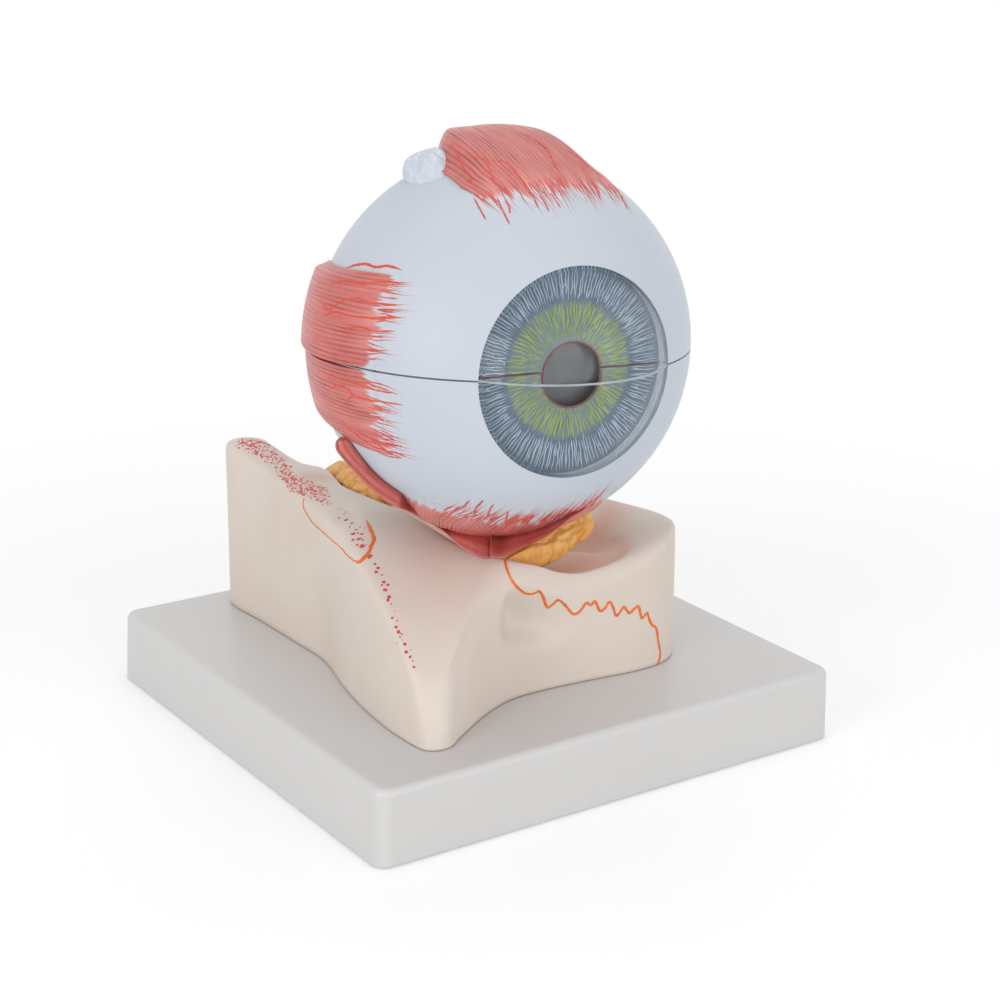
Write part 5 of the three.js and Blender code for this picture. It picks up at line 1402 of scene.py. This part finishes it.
OBLIQUE_STATIONS = [
    (343, 436.5, 339, 438, 2.0, 3), (348, 438.5, 336, 442, 3.5, 6), (353, 446, 336.5, 450, 4.5, 8),
    (359, 454, 343, 459, 4.5, 8), (372, 470, 359, 477, 4.5, 8), (385, 482, 373, 491, 4.5, 8),
    (396, 490, 386, 501, 4.5, 8), (403, 495, 398, 507, 4.0, 8), (408, 503, 408, 511, 2.5, 6),
    (420, 512, 420, 517, 1.2, 6), (434, 521, 435, 526, 1.5, 6), (446, 528, 448, 534.5, 3, 8),
    (458, 532, 458, 545, 5, 10), (470, 534, 470, 553, 7, 12), (480, 535.5, 481, 558, 8, 12),
    (487, 537, 489, 559, 8, 12), (490, 543, 490.5, 556, 8, 6),
]
RECTUS_STATIONS = [
    (490.2, 541, 490.3, 554, 8, 6), (491.5, 537, 492, 556.5, 8.5, 10), (503, 535, 503, 557, 8.5, 10),
    (515, 534, 518, 549.5, 7, 10), (530, 530, 533, 543.5, 6, 10), (545, 526, 546, 537, 5, 10),
    (558, 520, 558, 529, 4, 10), (570, 514, 570, 520, 2.5, 8), (580, 510, 580, 514, 1.5, 6),
    (588, 506, 588, 508.5, 0.8, 3),
]
# Painted shadow on the strap, in the dark gap under the ball: its span across the image
PAINTED_SHADOW_SPAN = (396, 448)
for name, node_name, stations, seed, look in (
    ("oblique_strap", "inferior_oblique", OBLIQUE_STATIONS, 91, LOOK_BED_MUSCLE),
    ("rectus_belly_front", "inferior_rectus", RECTUS_STATIONS, 92, LOOK_LIT_BED_MUSCLE),
):
    shape, along, across, share = hugging(stations)
    groove = fibres(along, across, BED_FIBRES, seed)
    x, _ = in_image(shape[0] @ EYE_AXES.T + EYE_MIDDLE)
    # Painted shade in the tip value: the strap darkens in the gap under the ball, and each bed muscle along its upper
    # edge against the ball and on its underside
    shade = smooth((x - PAINTED_SHADOW_SPAN[0]) / 6) * smooth((PAINTED_SHADOW_SPAN[1] - x) / 12) if name == "oblique_strap" else 0 * x
    rim = smooth(1 - share / 0.12) * 0.7 + smooth((share - 0.62) / 0.1) * 0.35
    obj = make(name, shape, EYE, look, 60, uv=np.stack([along, across], 1), groove=groove,
               tip=np.clip(np.maximum(rim, shade), 0, 1))
    stands_for(obj, node_name)

# The rest of the inferior rectus, behind the part that shows
RECTUS_LINE = [(8, 34, -52), (9, 12, -62), (9, -11, -62)]
RECTUS_CUT_Y, RECTUS_WEDGE, WEDGE_SINK, WEDGE_SHARE = 5.0, 12.0, 0.6, 0.05
points, faces, _ = remeshed("inferior_rectus", 0.55, 3)
local = (points - EYE_MIDDLE) @ EYE_AXES
thin = smooth((RECTUS_CUT_Y + RECTUS_WEDGE - local[:, 1]) / RECTUS_WEDGE)
under = -BALL_RADIUS * np.sqrt(np.maximum(1 - (local[:, 0] / BALL_RADIUS) ** 2 - (local[:, 1] / BALL_AXIAL) ** 2, 0))
local[:, 2] = lerp(local[:, 2], under - WEDGE_SINK + WEDGE_SHARE * (local[:, 2] - under), thin)
local[:, 1] = np.maximum(local[:, 1], RECTUS_CUT_Y)
along, across = band_coordinates(points, RECTUS_LINE)
groove = np.clip(fibres(along, across, BELLY_FIBRES, 93) * 0.8, 0, 1)
uv = np.stack([along, across], 1)
belly = make("rectus_belly_back", (local, faces), EYE, LOOK_BED_MUSCLE, 60, uv, groove=groove)
rides_with(belly, "inferior_rectus")

# Fat pads: their remeshed CAD solids with creases between lobes
LOBE_SPACING, LOBE_WAVE, LOBE_SWELL = 8.4, 0.7, 0.1
CREASE_LINE, CREASE_WIDTH, CREASE_DEPTH, CREASE_SHADE = 0.4, 1.3, 0.7, 0.7
# The front pad's tail, drawn out past the front of the seat pin
TAIL_FROM, TAIL_BLEND, TAIL_Y, TAIL_FLATTEN, TAIL_REACH = 0.5, 7.0, -38.6, 0.22, 10.0
for node_name, seed in (("orbital_fat_lateral", 5), ("orbital_fat_medial", 6)):
    points, faces, normals = fat_skins[node_name]
    rng = np.random.default_rng(seed)
    low, high = points.min(0), points.max(0)
    seeds = rng.uniform(low - 2, high + 2, (int(np.prod((high - low + 4) / LOBE_SPACING)), 3))
    tree = KDTree(len(seeds))
    for i, s in enumerate(seeds):
        tree.insert(Vector(s), i)
    tree.balance()
    gap = np.empty(len(points))
    for i, p in enumerate(points + LOBE_WAVE * np.stack([ripple(points, 5, seed + k) for k in range(3)], 1)):
        (_, _, d1), (_, _, d2) = tree.find_n(Vector(p), 2)
        gap[i] = d2 - d1
    # Painted shade in the creases between lobes, as strong as CREASE_SHADE
    crease = np.exp(-((gap / CREASE_LINE) ** 2))
    points = points - normals * (CREASE_DEPTH * np.exp(-((gap / CREASE_WIDTH) ** 2)) - LOBE_SWELL)[:, None]
    if node_name == "orbital_fat_lateral":
        tail = smooth((TAIL_FROM - points[:, 0]) / TAIL_BLEND)
        points[:, 1] = lerp(points[:, 1], TAIL_Y + (points[:, 1] - TAIL_Y) * TAIL_FLATTEN, tail)
        points[:, 0] -= TAIL_REACH * tail
    obj = make(node_name + "_lobes", (points, faces), ROW, LOOK_FAT, 70, crease=np.clip(crease * CREASE_SHADE, 0, 1))
    stands_for(obj, node_name)

# Tendon tab of the superior oblique, a low knob beside the superior rectus
TAB_CENTRE, TAB_RADII, TAB_RISE = (-24.4, 4.6), (7.0, 9.2), 5.6
TAB_FRONT, TAB_FOOT = (-0.3, -0.95), 3.0
u, v = grid(90, 90)
a, b = 2 * u - 1, 2 * v - 1
disc_x, disc_y = a * np.sqrt(1 - b * b / 2), b * np.sqrt(1 - a * a / 2)
reach, turn = np.hypot(disc_x, disc_y), np.arctan2(disc_y, disc_x)
front = smooth(disc_x * TAB_FRONT[0] + disc_y * TAB_FRONT[1])
x = TAB_CENTRE[0] + TAB_RADII[0] * disc_x + TAB_FOOT * TAB_FRONT[0] * front
y = TAB_CENTRE[1] + TAB_RADII[1] * disc_y + TAB_FOOT * TAB_FRONT[1] * front
lace = 1 - np.clip(np.abs(flat_ripple(x, y, 2.6, 15)) * 2.4, 0, 1)
uneven = 1 + 0.12 * smooth(reach / 0.6) * flat_ripple(6 * np.cos(turn), 6 * np.sin(turn), 4, 16)
height = TAB_RISE * np.maximum(1 - reach**2.6, 0) ** (0.6 + 1.4 * front) * uneven
height = height + 0.28 * (lace - 0.4) * smooth((1 - reach) * 5)
top = ball_point("z", 1, x, y, np.maximum(height, 0.05))
low = ball_point("z", 1, x, y, np.full_like(x, PAINT_LOW))
lace = np.tile(np.clip(lace, 0, 1), 2)
obj = make("oblique_tendon_tab", slab(top, low, 90, 90), EYE, LOOK_TENDON, 70, lace=lace)
stands_for(obj, "superior_oblique_tendon")

# Stump of the optic nerve, its remeshed CAD solid made uneven
points, faces, normals = remeshed("optic_nerve", 0.6, 3)
points = points + normals * (0.12 * ripple(points, 4, 17))[:, None]
stands_for(make("nerve_stump", (points, faces), ROW, LOOK_NERVE, 60), "optic_nerve")


# Floor, lamps and world
FLOOR_HALF, FLOOR_GLOW = 3.0, 0.3
FLOOR_WHITE_FROM, FLOOR_WHITE_TO = 0.2, 0.4
WORLD_FILL = 0.56

paint = Paint("pale_floor")
paint.put(paint.shader.inputs["Base Color"], paint.ramp(paint.noise(4.0), 0.3, grey(0.80), 0.7, grey(0.82)))
paint.put(paint.shader.inputs["Roughness"], 0.9)
looked_at = paint.unlit_rays()
glow = paint.node("Emission", {"Color": grey(1.0), "Strength": paint.maths("MULTIPLY", looked_at, FLOOR_GLOW)})
near = paint.shown_by("AddShader", None, paint.shader.outputs["BSDF"], glow.outputs["Emission"])
distance = paint.node("VectorMath", {0: paint.place}, operation="LENGTH").outputs["Value"]
share = paint.maths("MULTIPLY", paint.fit(distance, FLOOR_WHITE_FROM, FLOOR_WHITE_TO), looked_at)
white = paint.node("Emission", {"Color": grey(1.0), "Strength": 1.0})
whole = paint.shown_by("MixShader", share, near, white.outputs["Emission"])
paint.put(paint.tree.nodes["Material Output"].inputs["Surface"], whole)

floor_mesh = bpy.data.meshes.new("floor")
corners = [(x * FLOOR_HALF, y * FLOOR_HALF, 0.0) for x, y in ((-1, -1), (1, -1), (1, 1), (-1, 1))]
floor_mesh.from_pydata(corners, [], [(0, 1, 2, 3)])
floor_mesh.materials.append(paint.look)
added("floor", floor_mesh)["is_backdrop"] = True

world = bpy.data.worlds.new("studio")
bpy.context.scene.world = world
world.use_nodes = True
nodes = Nodes(world.node_tree)
background = nodes.tree.nodes["Background"].inputs
nodes.put(background["Color"], grey(1.0))
nodes.put(background["Strength"], nodes.fit(nodes.unlit_rays(), 0.0, 1.0, WORLD_FILL, 1.0))

# Soft boxes: name, place, width and height in millimetres, and power in watts
TARGET = Vector((-10.0, -10.0, 90.0))
for name, place_mm, size_mm, watts in (
    ("top_box", (150.0, 100.0, 1200.0), (1100.0, 1100.0), 2.8),
    ("left_box", (-1100.0, -350.0, 260.0), (500.0, 900.0), 5.0),
    ("front_box", (150.0, -1250.0, 340.0), (1300.0, 900.0), 5.4),
):
    data = bpy.data.lights.new(name, "AREA")
    data.shape, data.size, data.size_y = "RECTANGLE", size_mm[0] * MM, size_mm[1] * MM
    data.energy = watts
    lamp = added(name, data)
    lamp.location = Vector(place_mm) * MM
    lamp.rotation_mode = "QUATERNION"
    lamp.rotation_quaternion = (TARGET - Vector(place_mm)).to_track_quat("-Z", "Y")

bpy.context.scene.view_settings.view_transform = "Standard"

low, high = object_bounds()
